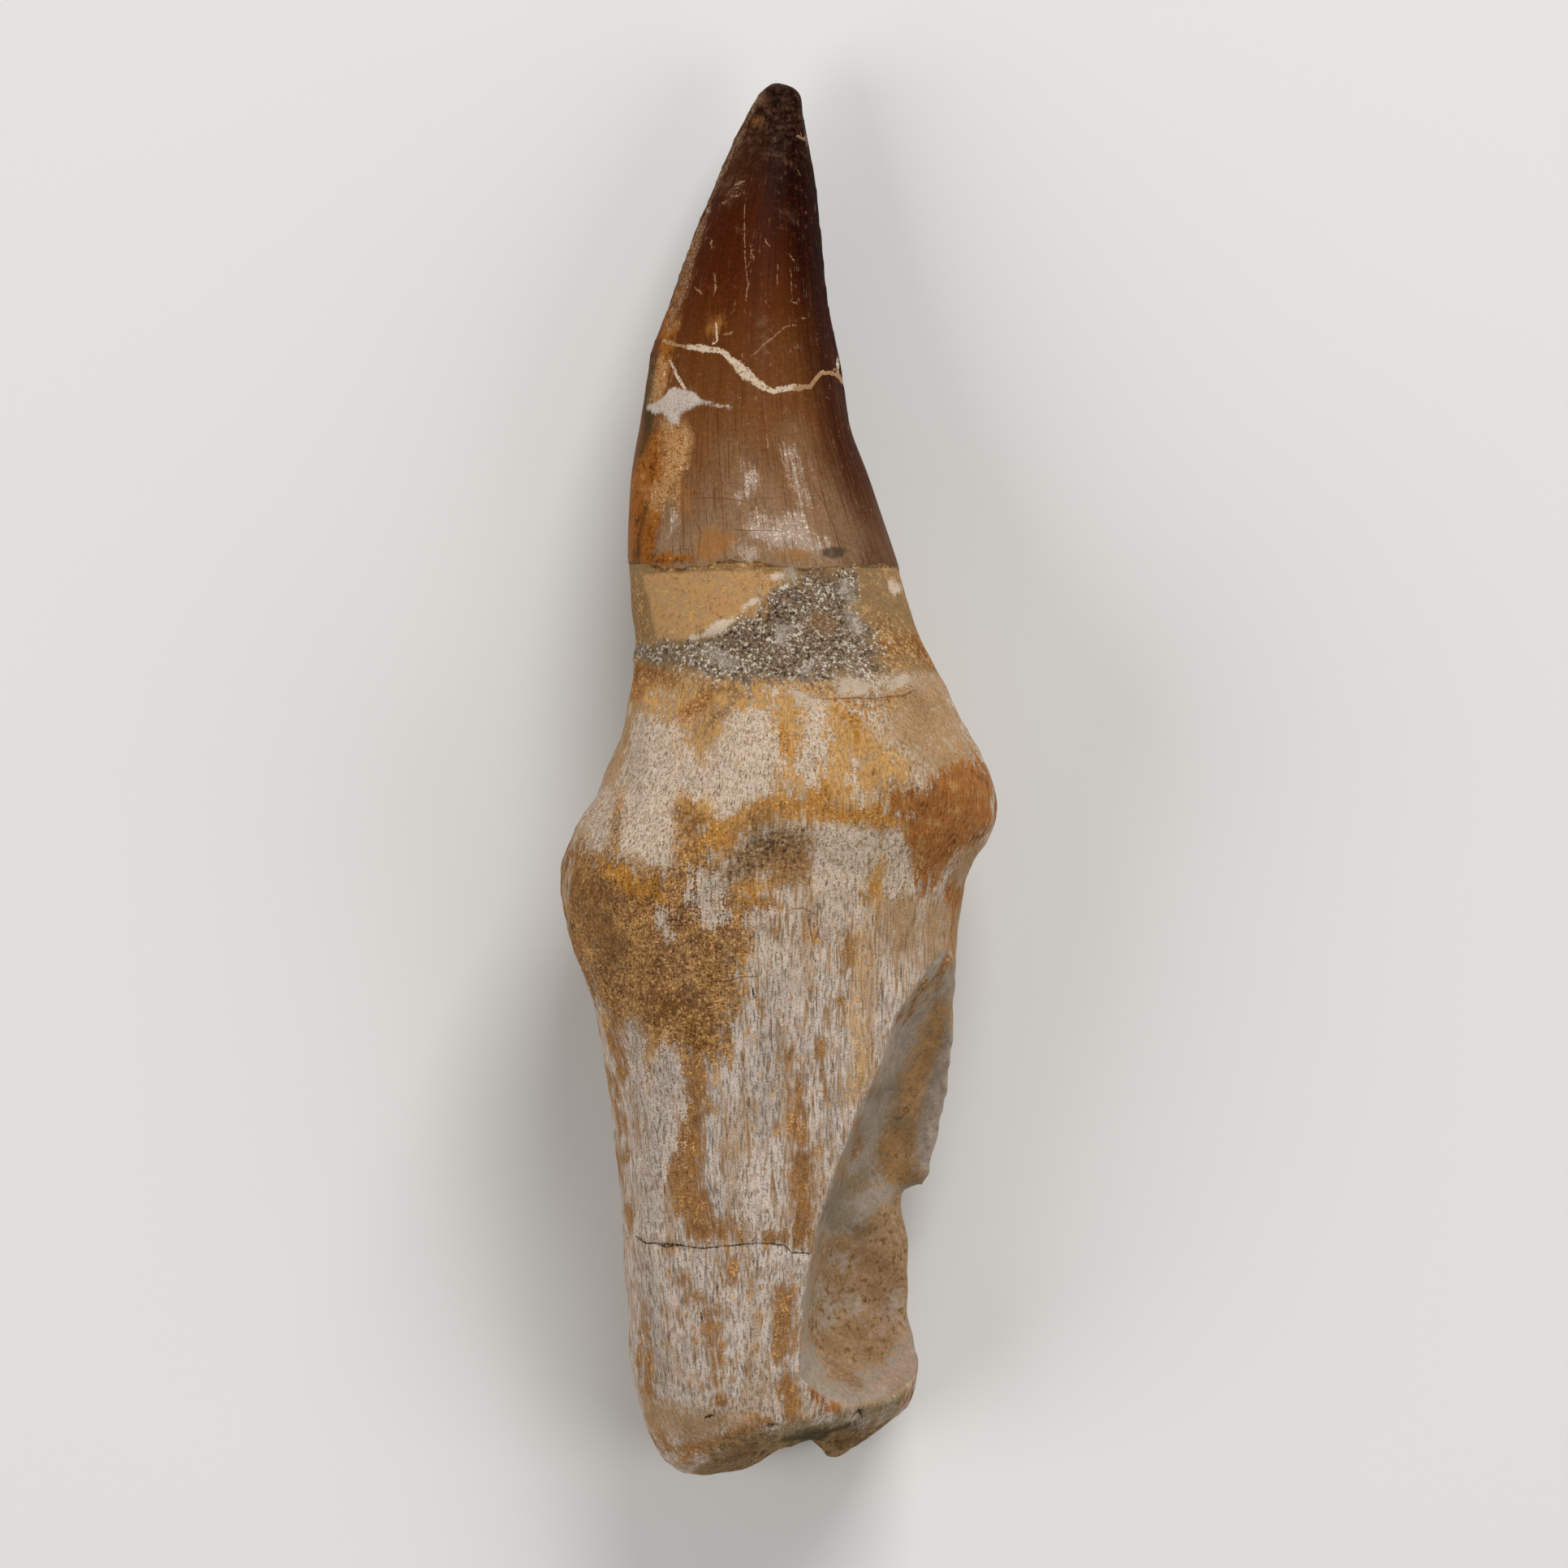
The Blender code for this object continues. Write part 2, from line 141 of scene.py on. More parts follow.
# Colours, in steps of 0 to 255
COLOURS = {
    # Crown
    "enamel tip": (58, 34, 20),
    "enamel grey": (60, 31, 15),
    "enamel high": (63, 24, 5),
    "enamel red": (72, 29, 6),
    "enamel middle": (90, 45, 13),
    "enamel brown": (114, 70, 34),
    "enamel low": (120, 80, 46),
    "enamel fawn": (136, 100, 70),
    # The enamel's pale rim, also laid over the low crown as a painted sheen
    "enamel rim and painted sheen": (152, 122, 92),
    # Painted shade, multiplied over the crown's right side where it turns from the light
    "enamel painted shade": (122, 78, 30),
    "enamel line dark": (58, 26, 6),
    "enamel line light": (172, 132, 92),
    "enamel red line": (92, 34, 10),
    "worn grey": (110, 82, 62),
    "enamel ochre": (152, 100, 48),
    # Pale wear of the enamel, also used as its painted highlight and glints
    "wear_and_painted_highlight": (182, 162, 146),
    "filler": (196, 176, 152),
    "filler shade": (140, 108, 72),
    "scratch": (176, 138, 106),
    "filler tan": (146, 104, 60),
    "plaster": (192, 178, 166),
    "plaster shade": (160, 144, 126),
    "face orange": (146, 88, 32),
    "face orange deep": (108, 56, 14),
    "grain yellow": (216, 172, 112),
    # Dark olive of the crown's left face, also its painted shade
    "face olive and painted shade": (66, 50, 24),
    # Neck
    "neck tan": (180, 138, 90),
    "neck orange": (152, 98, 48),
    "neck olive": (142, 114, 78),
    "neck pink": (204, 184, 162),
    "neck grey": (172, 160, 144),
    "disc brown": (134, 98, 64),
    "sand dark": (66, 53, 42),
    "sand middle": (130, 113, 96),
    "sand tan": (150, 122, 90),
    "sand light": (220, 206, 186),
    "flake": (192, 172, 148),
    # Root
    "bone white": (205, 190, 176),
    "bone pale": (168, 153, 138),
    "bone grey": (146, 126, 108),
    "bone dull": (160, 144, 132),
    "bone lilac": (212, 212, 214),
    "bone beige": (162, 130, 94),
    "bone cream": (194, 148, 84),
    "bone tan": (158, 120, 76),
    "dash": (98, 60, 36),
    "fleck": (148, 92, 50),
    "upper root": (255, 250, 240),
    "ochre": (142, 98, 53),
    "ochre dark": (86, 52, 24),
    "ochre light": (194, 150, 92),
    "mustard": (174, 122, 52),
    "orange": (154, 98, 46),
    "orange deep": (122, 72, 34),
    "dip dark": (96, 78, 58),
    # Hollow and base
    "hollow grey": (152, 138, 122),
    "hollow light": (160, 142, 124),
    "hollow gold": (164, 124, 78),
    "hollow green": (118, 104, 80),
    "hollow tan": (150, 118, 80),
    "hollow brown": (116, 84, 52),
    "hollow pink": (154, 128, 108),
    # Painted shade and shadow of the base's underside and its cavity
    "under olive and painted shade": (64, 54, 34),
    "under painted shadow": (60, 54, 36),
    "base green": (118, 110, 78),
    "hole": (30, 22, 14),
}

# Enamel colours by height above its lower edge, in millimetres
ENAMEL_TONES = [
    (1.0, "enamel rim and painted sheen"), (5.5, "enamel fawn"), (9.5, "enamel low"), (14.0, "enamel brown"),
    (22.5, "enamel middle"), (27.5, "enamel red"), (33.0, "enamel high"), (37.5, "enamel grey"),
    (41.0, "enamel tip"),
]

# Zones painted as strokes, whose points are a column, a row and half the width there, or as
# outlines, whose points are a column and a row
SHAPES = {
    # Root
    "pale": [
        [(786, 884), (831, 892), (841, 929), (834, 968), (827, 1013), (827, 1060), (800, 1058),
         (770, 1046), (771, 1013), (778, 968), (781, 912)],
        [(742, 985, 9), (740, 1010, 12), (737, 1034, 9)], [(850, 934, 8), (856, 960, 14), (862, 976, 8)],
        [(887, 873), (930, 878), (949, 884), (960, 918), (966, 951), (943, 974), (915, 985), (893, 1007),
         (873, 996), (884, 962), (870, 930), (893, 920)],
        [(985, 856), (1012, 860), (1022, 901), (1016, 951), (996, 964), (980, 944), (994, 905)],
        [(1048, 960, 6), (1056, 980, 7)],
        [(1018, 1018), (1050, 1021), (1066, 1041), (1066, 1069), (1044, 1090), (1022, 1096), (1002, 1090),
         (1006, 1052), (1008, 1028)], [(1076, 1034, 7), (1078, 1058, 9)],
        [(1098, 1036, 10), (1104, 1070, 13), (1098, 1096, 10)],
        [(860, 1070), (888, 1076), (896, 1096), (890, 1110), (900, 1126), (884, 1138), (866, 1126),
         (846, 1106), (854, 1086)], [(818, 1126, 6), (820, 1152, 7)], [(926, 1130, 9), (950, 1128, 8)],
        [(786, 1268, 8), (788, 1340, 8)],
        [(820, 1302, 13), (823, 1350, 18), (816, 1400, 17), (804, 1450, 12), (800, 1506, 14)],
        [(958, 1160, 5), (960, 1240, 14)], [(930, 1440, 18), (926, 1484, 18)],
    ],
    "lilac": [
        [(792, 890, 7), (788, 940, 9), (784, 990, 8)], [(742, 985, 9), (740, 1010, 12), (737, 1034, 9)],
        [(876, 1084, 14), (868, 1110, 14), (892, 1134, 8)],
        [(786, 1272, 9), (788, 1300, 9), (792, 1370, 8)],
        [(824, 1305, 12), (818, 1350, 16), (808, 1420, 14), (802, 1500, 12)],
        [(800, 1560, 12), (806, 1640, 14), (818, 1700, 12)],
        [(960, 1210, 14), (946, 1300, 16), (940, 1390, 12)], [(1030, 1340, 10), (1020, 1400, 8)],
    ],
    "cream": [
        [(800, 862, 26), (900, 872, 40), (1000, 880, 40)],
        [(850, 915, 26), (905, 905, 40), (975, 925, 46), (1050, 935, 46)],
        [(1040, 960, 40), (1090, 955, 34)], [(870, 1000, 20), (835, 985, 12)],
        [(1080, 1060, 10), (1082, 1100, 14)], [(830, 1240, 24), (800, 1290, 16)],
        [(1056, 1150, 8), (1060, 1225, 9)],
        [(1050, 1240, 6), (1061, 1290, 11), (1064, 1316, 12), (1050, 1345, 9)],
    ],
    "beige": [
        [(1040, 1728, 8), (1080, 1724, 9), (1110, 1708, 9), (1126, 1682, 7)],
        [(800, 1736, 16), (850, 1752, 22), (900, 1742, 14)],
        [(1110, 868, 26), (1135, 885, 44), (1160, 915, 40), (1165, 940, 20)],
        [(1124, 852, 12), (1150, 850, 16), (1166, 876, 16)],
        [(775, 880, 11), (758, 930, 13), (744, 972, 9)],
        [(1195, 1050, 14), (1180, 1090, 12), (1172, 1160, 13)], [(1110, 1116, 20), (1112, 1160, 20)],
        [(1150, 1120, 14), (1145, 1180, 12)],
    ],
    "ochre": [
        [(828, 985), (852, 985), (876, 1004), (872, 1030), (890, 1066), (904, 1092), (922, 1108),
         (944, 1116), (950, 1134), (932, 1148), (915, 1180), (922, 1214), (906, 1260), (898, 1306),
         (876, 1314), (842, 1300), (820, 1296), (800, 1286), (782, 1262), (740, 1262), (716, 1210),
         (696, 1150), (692, 1090), (700, 1040), (722, 1028), (740, 1046), (752, 1040), (756, 990),
         (770, 985), (766, 1050), (800, 1066), (830, 1066), (832, 1020)],
    ],
    "stripes": [
        [(843, 1256), (876, 1256), (873, 1350), (867, 1390), (867, 1440), (878, 1480), (904, 1512),
         (902, 1526), (846, 1524), (834, 1485), (817, 1440), (830, 1395), (841, 1350)],
        [(800, 1290, 4), (800, 1340, 4)],
        [(760, 1256, 12), (766, 1300, 11), (762, 1340, 5), (770, 1390, 8)],
        [(764, 1420, 6), (772, 1505, 5)],
        [(974, 1412), (1000, 1412), (1001, 1478), (998, 1536), (974, 1530), (976, 1470)],
        [(984, 1322, 7), (986, 1360, 9), (986, 1400, 9)], [(1008, 1280, 4), (1012, 1340, 6)],
        [(974, 1290, 3), (974, 1350, 3)], [(910, 1496, 9), (908, 1520, 7)],
        [(948, 1516, 8), (966, 1518, 8)], [(838, 1574, 8), (858, 1594, 10)],
        [(874, 1598, 10), (877, 1650, 10), (882, 1692, 7)], [(890, 1548, 4), (890, 1576, 5)],
        [(904, 1548, 3), (904, 1570, 4)], [(966, 1588, 12), (966, 1640, 14), (964, 1664, 9)],
        [(966, 1698, 10), (976, 1720, 14), (974, 1738, 10)], [(892, 1724, 8)],
        [(792, 1600, 4), (796, 1690, 6), (806, 1750, 10), (820, 1786, 12)],
        [(850, 1780, 14), (900, 1764, 12), (940, 1750, 9)], [(1045, 1146, 7), (1044, 1190, 6)],
        [(955, 1130, 5), (958, 1172, 6)], [(912, 1108, 9), (934, 1112, 15), (956, 1118, 8)],
        [(939, 1213, 4), (940, 1246, 4.5)], [(1036, 1230, 3), (1038, 1262, 3)],
    ],
    "ochre_shade": [
        [(728, 1104, 12), (742, 1136, 20), (760, 1162, 18)], [(750, 1186, 6)],
        [(838, 1000, 10), (856, 1020, 10)], [(1134, 998, 11), (1126, 1006, 8)],
        [(716, 1050, 6), (708, 1090, 6)], [(1090, 976, 12), (1112, 970, 14), (1140, 980, 8)],
        [(866, 1514, 10), (880, 1518, 9)], [(986, 1500, 9), (986, 1526, 8)],
        [(984, 1424, 8), (990, 1444, 8)],
    ],
    "mustard": [
        [(910, 996), (932, 982), (971, 979), (994, 976), (1012, 960), (1024, 964), (1026, 984),
         (1038, 992), (1083, 996), (1117, 1004), (1128, 1024), (1072, 1021), (1038, 1018), (994, 1010),
         (960, 1012), (932, 1024), (912, 1040), (892, 1060), (866, 1052), (864, 1020), (884, 1010)],
        [(760, 1074, 10), (790, 1096, 14), (812, 1100, 10)], [(1076, 1094, 10), (1066, 1106, 8)],
        [(906, 1092, 9), (930, 1090, 13), (948, 1088, 8)],
        [(1040, 874, 10), (1052, 896, 11), (1058, 914, 6)], [(1062, 874, 6), (1084, 872, 8)],
        [(898, 900, 6), (906, 926, 5)], [(960, 900, 8), (970, 930, 9)], [(858, 940, 4), (862, 960, 4)],
    ],
    "orange": [
        [(1156, 951), (1201, 932), (1221, 950), (1232, 985), (1232, 1004), (1205, 1026), (1173, 1058),
         (1156, 1063), (1142, 1104), (1128, 1099), (1122, 1058), (1108, 1030), (1117, 1007), (1090, 996),
         (1100, 979), (1139, 974)], [(1174, 1092, 5), (1170, 1150, 6)],
        [(1006, 1708, 8), (1020, 1728, 8)], [(1112, 1745, 7), (1122, 1725, 5)],
    ],
    "dip": [
        [(926, 1034), (960, 1020), (994, 1020), (1002, 1046), (1000, 1086), (974, 1094), (950, 1090),
         (938, 1074), (914, 1080), (886, 1094), (884, 1076), (904, 1052)],
    ],
    "dip_core": [
        [(917, 1016), (944, 1010), (978, 1018), (984, 1036), (964, 1054), (936, 1058), (914, 1074),
         (890, 1094), (884, 1082), (898, 1058), (914, 1042)],
    ],
    # Neck
    "tan": [
        [(793, 708), (870, 704), (959, 705), (964, 723), (944, 736), (923, 756), (898, 774), (862, 782),
         (852, 790), (811, 787), (803, 756), (796, 731)],
    ],
    "tan_edge": [
        [(854, 788, 3), (872, 782, 7), (888, 774, 8), (902, 766, 3)], [(914, 752, 2), (930, 742, 3)],
        [(940, 714, 3), (960, 712, 4)],
    ],
    "sand": [
        [(984, 706), (1012, 702), (1052, 706), (1054, 736), (1040, 750), (1060, 764), (1074, 776),
         (1068, 790), (1088, 802), (1076, 814), (1088, 828), (1066, 836), (1032, 832), (1004, 840),
         (960, 843), (908, 842), (866, 828), (832, 816), (800, 816), (780, 808), (778, 792), (803, 793),
         (857, 790), (903, 772), (939, 757), (946, 736), (962, 724), (980, 722)],
    ],
    # Brown sandy streaks, with a painted shadow below the grey matrix's lower edge
    "brown_sand_and_painted_shadow": [
        [(1078, 768, 8), (1100, 776, 10), (1108, 798, 12), (1096, 816, 10)],
        [(1108, 812, 8), (1126, 808, 8)], [(840, 832, 8), (880, 848, 10), (914, 852, 8)],
        [(900, 862, 5), (890, 878, 8), (868, 900, 8)], [(782, 716, 4), (786, 750, 6), (790, 790, 8)],
        [(990, 844, 5), (1010, 848, 7), (1024, 846, 6)], [(1070, 862, 4), (1080, 850, 5)],
        [(872, 700, 2), (912, 698, 3), (952, 700, 3)], [(1090, 866, 3), (1112, 860, 4), (1124, 848, 3)],
    ],
    "spot": [
        [(965, 778, 10), (963, 790, 7)], [(1038, 728, 8), (1046, 738, 6)],
        [(1044, 760, 6), (1056, 776, 6)], [(972, 700, 5), (976, 710, 6)], [(993, 828, 6)],
        [(880, 806, 5), (900, 820, 6)],
    ],
    "disc": [[(1008, 768, 12), (1022, 772, 11)], [(1000, 708, 5), (1014, 706, 7), (1024, 712, 5)]],
    "flake": [
        [(1035, 837), (1052, 839), (1068, 845), (1067, 857), (1048, 859), (1030, 857)],
        [(1088, 848), (1099, 838), (1107, 832), (1120, 834), (1118, 844), (1098, 853)],
        [(975, 855), (986, 852), (998, 862), (1012, 863), (1003, 874), (984, 873)],
    ],
    "neck_orange": [
        [(800, 694, 6), (822, 702, 10), (836, 712, 9)], [(818, 730, 4), (846, 722, 4)],
        [(846, 697, 6), (900, 695, 4), (958, 697, 4)], [(812, 726, 5), (832, 722, 5)],
        [(1085, 800, 10), (1130, 792, 14), (1140, 820, 9)], [(985, 684, 5), (1000, 686, 5)],
        [(782, 860, 8), (800, 832, 12), (830, 838, 10)], [(870, 862, 12), (845, 880, 10)],
    ],
    "neck_pale": [[(1097, 720, 5), (1103, 728, 6)], [(1059, 686, 4)], [(1100, 690, 3), (1110, 694, 3)]],
    # Crown
    "face": [
        [(826, 386, 7), (820, 440, 8), (812, 480, 9)],
        [(806, 545, 14), (800, 590, 20), (796, 640, 20), (792, 690, 16)],
        [(826, 540, 16), (824, 580, 14), (816, 612, 10)], [(838, 362, 4), (833, 386, 5), (828, 408, 6)],
        [(800, 690, 8), (850, 690, 6)],
    ],
    "face_grain": [
        [(818, 520), (828, 512), (840, 524), (846, 540), (845, 562), (839, 582), (834, 600), (832, 622),
         (820, 628), (804, 620), (806, 606), (818, 590), (818, 550)], [(814, 450, 4), (812, 490, 5)],
    ],
    # Painted shade: a dark greenish strip along the left face, which turns from the light
    "olive": [
        [(806, 438, 5), (803, 480, 7), (799, 530, 6), (792, 560, 3)],
        [(798, 622, 2), (789, 660, 2), (787, 686, 3)],
    ],
    "keel": [
        [(887, 218, 2), (868, 268, 3), (855, 305, 6), (846, 340, 7), (838, 366, 7), (828, 400, 6)],
        [(937, 112, 2), (929, 128, 2), (921, 148, 3), (911, 168, 2), (899, 196, 2), (887, 218, 2)],
    ],
    "plaster": [
        [(822, 484), (834, 479), (845, 482), (858, 488), (868, 495), (862, 501), (850, 506), (841, 508),
         (841, 516), (838, 528), (828, 524), (820, 514), (817, 503)],
        [(866, 498, 3.2), (880, 501, 2), (902, 505, 1)], [(803, 503, 4), (812, 504, 7), (822, 500, 10)],
    ],
    "worn": [
        [(888, 222, 6), (905, 226, 10), (892, 246, 7)], [(950, 180, 6), (962, 200, 8)],
        [(972, 270, 6), (966, 262, 5)], [(940, 400, 14), (946, 430, 12)],
    ],
    "ochre_crown": [
        [(876, 672, 22), (900, 668, 10)], [(962, 686, 5), (992, 686, 6)], [(884, 400, 6), (880, 412, 5)],
        [(840, 600, 4), (846, 640, 5)], [(930, 146, 5)],
    ],
    # Pale worn patches on the low crown, with painted highlights over them
    "wear_and_painted_highlight": [
        [(927, 636, 3), (945, 643, 5), (962, 650, 8), (985, 640, 7)],
        [(930, 655, 10), (960, 662, 16), (985, 664, 12), (1008, 676, 9)], [(906, 672, 6), (925, 684, 8)],
        [(829, 632, 4), (834, 650, 5), (824, 662, 3)], [(803, 645, 3), (808, 636, 3)],
        [(922, 575, 6), (925, 600, 8), (912, 620, 5)], [(970, 560, 6), (978, 590, 6), (990, 620, 5)],
    ],
    # Painted sheen: a soft pale glow of the light over the low middle of the crown
    "painted_sheen": [
        [(905, 560, 20), (925, 610, 34), (940, 660, 36)],
        [(975, 540, 20), (1000, 600, 26), (1030, 670, 36)], [(880, 640, 10), (905, 690, 14)],
    ],
    "dark_chip": [[(1014, 683, 4), (1034, 682, 6)]],
    "filler_tan": [
        [(985, 482, 8), (1004, 472, 10), (1024, 462, 10), (1040, 470, 8)], [(824, 424, 6), (842, 428, 5)],
    ],
    # Hollow
    "hollow": [
        [(1159, 1168), (1132, 1207), (1102, 1249), (1087, 1300), (1069, 1342), (1054, 1369), (1039, 1411),
         (1021, 1459), (1004, 1516), (997, 1552), (988, 1600), (985, 1690), (1010, 1714), (1040, 1727),
         (1090, 1720), (1120, 1700), (1140, 1690), (1140, 1500), (1180, 1460), (1190, 1200)],
    ],
    "bevel": [[(1162, 1183, 7), (1147, 1207, 9), (1122, 1240, 8), (1108, 1256, 5)]],
    "hollow_tan": [
        [(1158, 1232, 12), (1150, 1280, 16), (1134, 1306, 16), (1126, 1340, 17)],
        [(1126, 1340, 17), (1112, 1380, 24), (1104, 1416, 26), (1112, 1446, 22)],
        [(1058, 1380, 10), (1056, 1406, 11)], [(1082, 1300, 6), (1074, 1334, 7)],
        [(1030, 1420, 10), (1040, 1448, 10), (1054, 1462, 12)],
        [(1060, 1516), (1084, 1484), (1140, 1470), (1140, 1610), (1110, 1660), (1090, 1684), (1040, 1690),
         (1004, 1676), (988, 1650), (990, 1620), (1006, 1560), (996, 1530), (1010, 1516)],
        [(1006, 1640, 9), (1026, 1676, 14), (1052, 1700, 9)],
        [(1004, 1520, 5), (1003, 1580, 5), (1002, 1630, 6)], [(1110, 1712, 8), (1114, 1726, 8)],
    ],
    "hollow_gold": [
        [(1160, 1226, 9), (1154, 1262, 12), (1142, 1304, 12), (1124, 1340, 13), (1118, 1370, 12)],
        [(1120, 1388, 12), (1096, 1416, 12), (1106, 1446, 14), (1128, 1450, 8)],
    ],
    "hollow_brown": [
        [(1144, 1302, 5)], [(1086, 1418, 10), (1092, 1442, 10)], [(1106, 1446, 5), (1124, 1448, 6)],
        [(1060, 1386, 6), (1056, 1404, 6)], [(1108, 1400, 7), (1120, 1410, 7)],
        [(1058, 1518, 9), (1072, 1512, 6)],
        [(1064, 1548, 11), (1084, 1556, 13), (1102, 1566, 9), (1106, 1590, 6)],
        [(1028, 1536, 5), (1042, 1540, 5)], [(1024, 1576, 4), (1040, 1578, 5), (1034, 1600, 4)],
        [(1076, 1588, 7), (1090, 1606, 8)], [(1014, 1644, 6), (1032, 1662, 7)],
        [(1044, 1642, 8), (1072, 1644, 12), (1092, 1652, 9)], [(1060, 1662, 8), (1084, 1672, 7)],
        [(1034, 1688, 4), (1054, 1698, 4)],
    ],
    "hollow_grey": [
        [(1020, 1550, 7), (1038, 1554, 7)], [(1010, 1592, 7), (1022, 1612, 9), (1018, 1630, 7)],
        [(1046, 1596, 5), (1046, 1610, 5)], [(1104, 1606, 8), (1096, 1620, 8)],
        [(1080, 1376, 7), (1072, 1410, 7)],
    ],
    "hollow_pale": [[(1168, 1296, 3), (1160, 1350, 5), (1153, 1400, 5), (1144, 1436, 4)]],
    "hollow_light": [
        [(1166, 1204, 5), (1142, 1230, 7), (1120, 1256, 8), (1104, 1276, 9), (1096, 1300, 12)],
        [(1168, 1292, 7), (1160, 1340, 12), (1152, 1390, 12), (1146, 1424, 9)],
        [(1078, 1716, 8), (1088, 1718, 7)], [(1032, 1706, 6), (1034, 1728, 6)],
    ],
    "hollow_green": [
        [(1084, 1348, 8), (1104, 1344, 8)], [(1106, 1380, 9), (1122, 1392, 7)],
        [(1066, 1444, 8), (1036, 1474, 14), (1012, 1490, 12), (1040, 1496, 14)],
        [(1046, 1510, 9), (1064, 1520, 7)],
    ],
    "hollow_pink": [
        [(1116, 1656, 11), (1120, 1690, 14), (1090, 1700, 15), (1074, 1708, 10)],
        [(1084, 1640, 4), (1100, 1620, 5)], [(1034, 1706, 8), (1036, 1726, 9)],
        [(1006, 1690, 6), (1014, 1696, 6)],
    ],
    # Base, with painted shade on its underside and a painted shadow in its cavity
    "under": [
        [(872, 1783), (903, 1764), (938, 1754), (977, 1762), (1015, 1749), (1061, 1752), (1100, 1756),
         (1080, 1830), (860, 1840)],
    ],
    "green": [
        [(1066, 1740, 10), (1096, 1732, 12), (1118, 1718, 8)],
        [(966, 1756, 6), (1010, 1754, 8), (1040, 1744, 8)],
    ],
    "under_painted_shadow": [[(972, 1770, 4), (994, 1768, 8), (1018, 1764, 8), (1040, 1757, 3), (1062, 1749, 1.5)]],
    "under_brown": [[(906, 1788, 9), (924, 1784, 8)], [(1034, 1782, 7), (1056, 1772, 6)]],
}

# Small pulls that bring the outline to the photograph's: column, row, reach, and how far to the
# right and down, all in pixels
PULLS = [
    (956, 112, 16, -3, -7), (976, 116, 11, 8, -4), (912, 160, 30, -3, 0), (1026, 385, 40, -5, 0),
    (1052, 530, 24, -3, 0), (782, 580, 34, -3, 0), (779, 740, 34, -3, 0), (1113, 730, 26, 4, 0),
    (1187, 892, 18, -4, 0), (731, 980, 18, 4, 0), (726, 1236, 28, 4, 0), (1155, 1390, 55, 13, 0),
    (1164, 1370, 12, 3, 0), (1128, 1452, 15, 7, 11), (1172, 1255, 30, 2, 0), (1117, 1570, 44, 4, 0),
    (1110, 1722, 30, 7, 9), (1054, 1776, 26, 0, 8), (1026, 1788, 12, 0, 6), (836, 1796, 26, -3, 13),
    (868, 1816, 14, 0, 5), (958, 108, 10, 0, -2), (940, 1808, 16, 0, -8), (1002, 1778, 12, 0, -5),
]

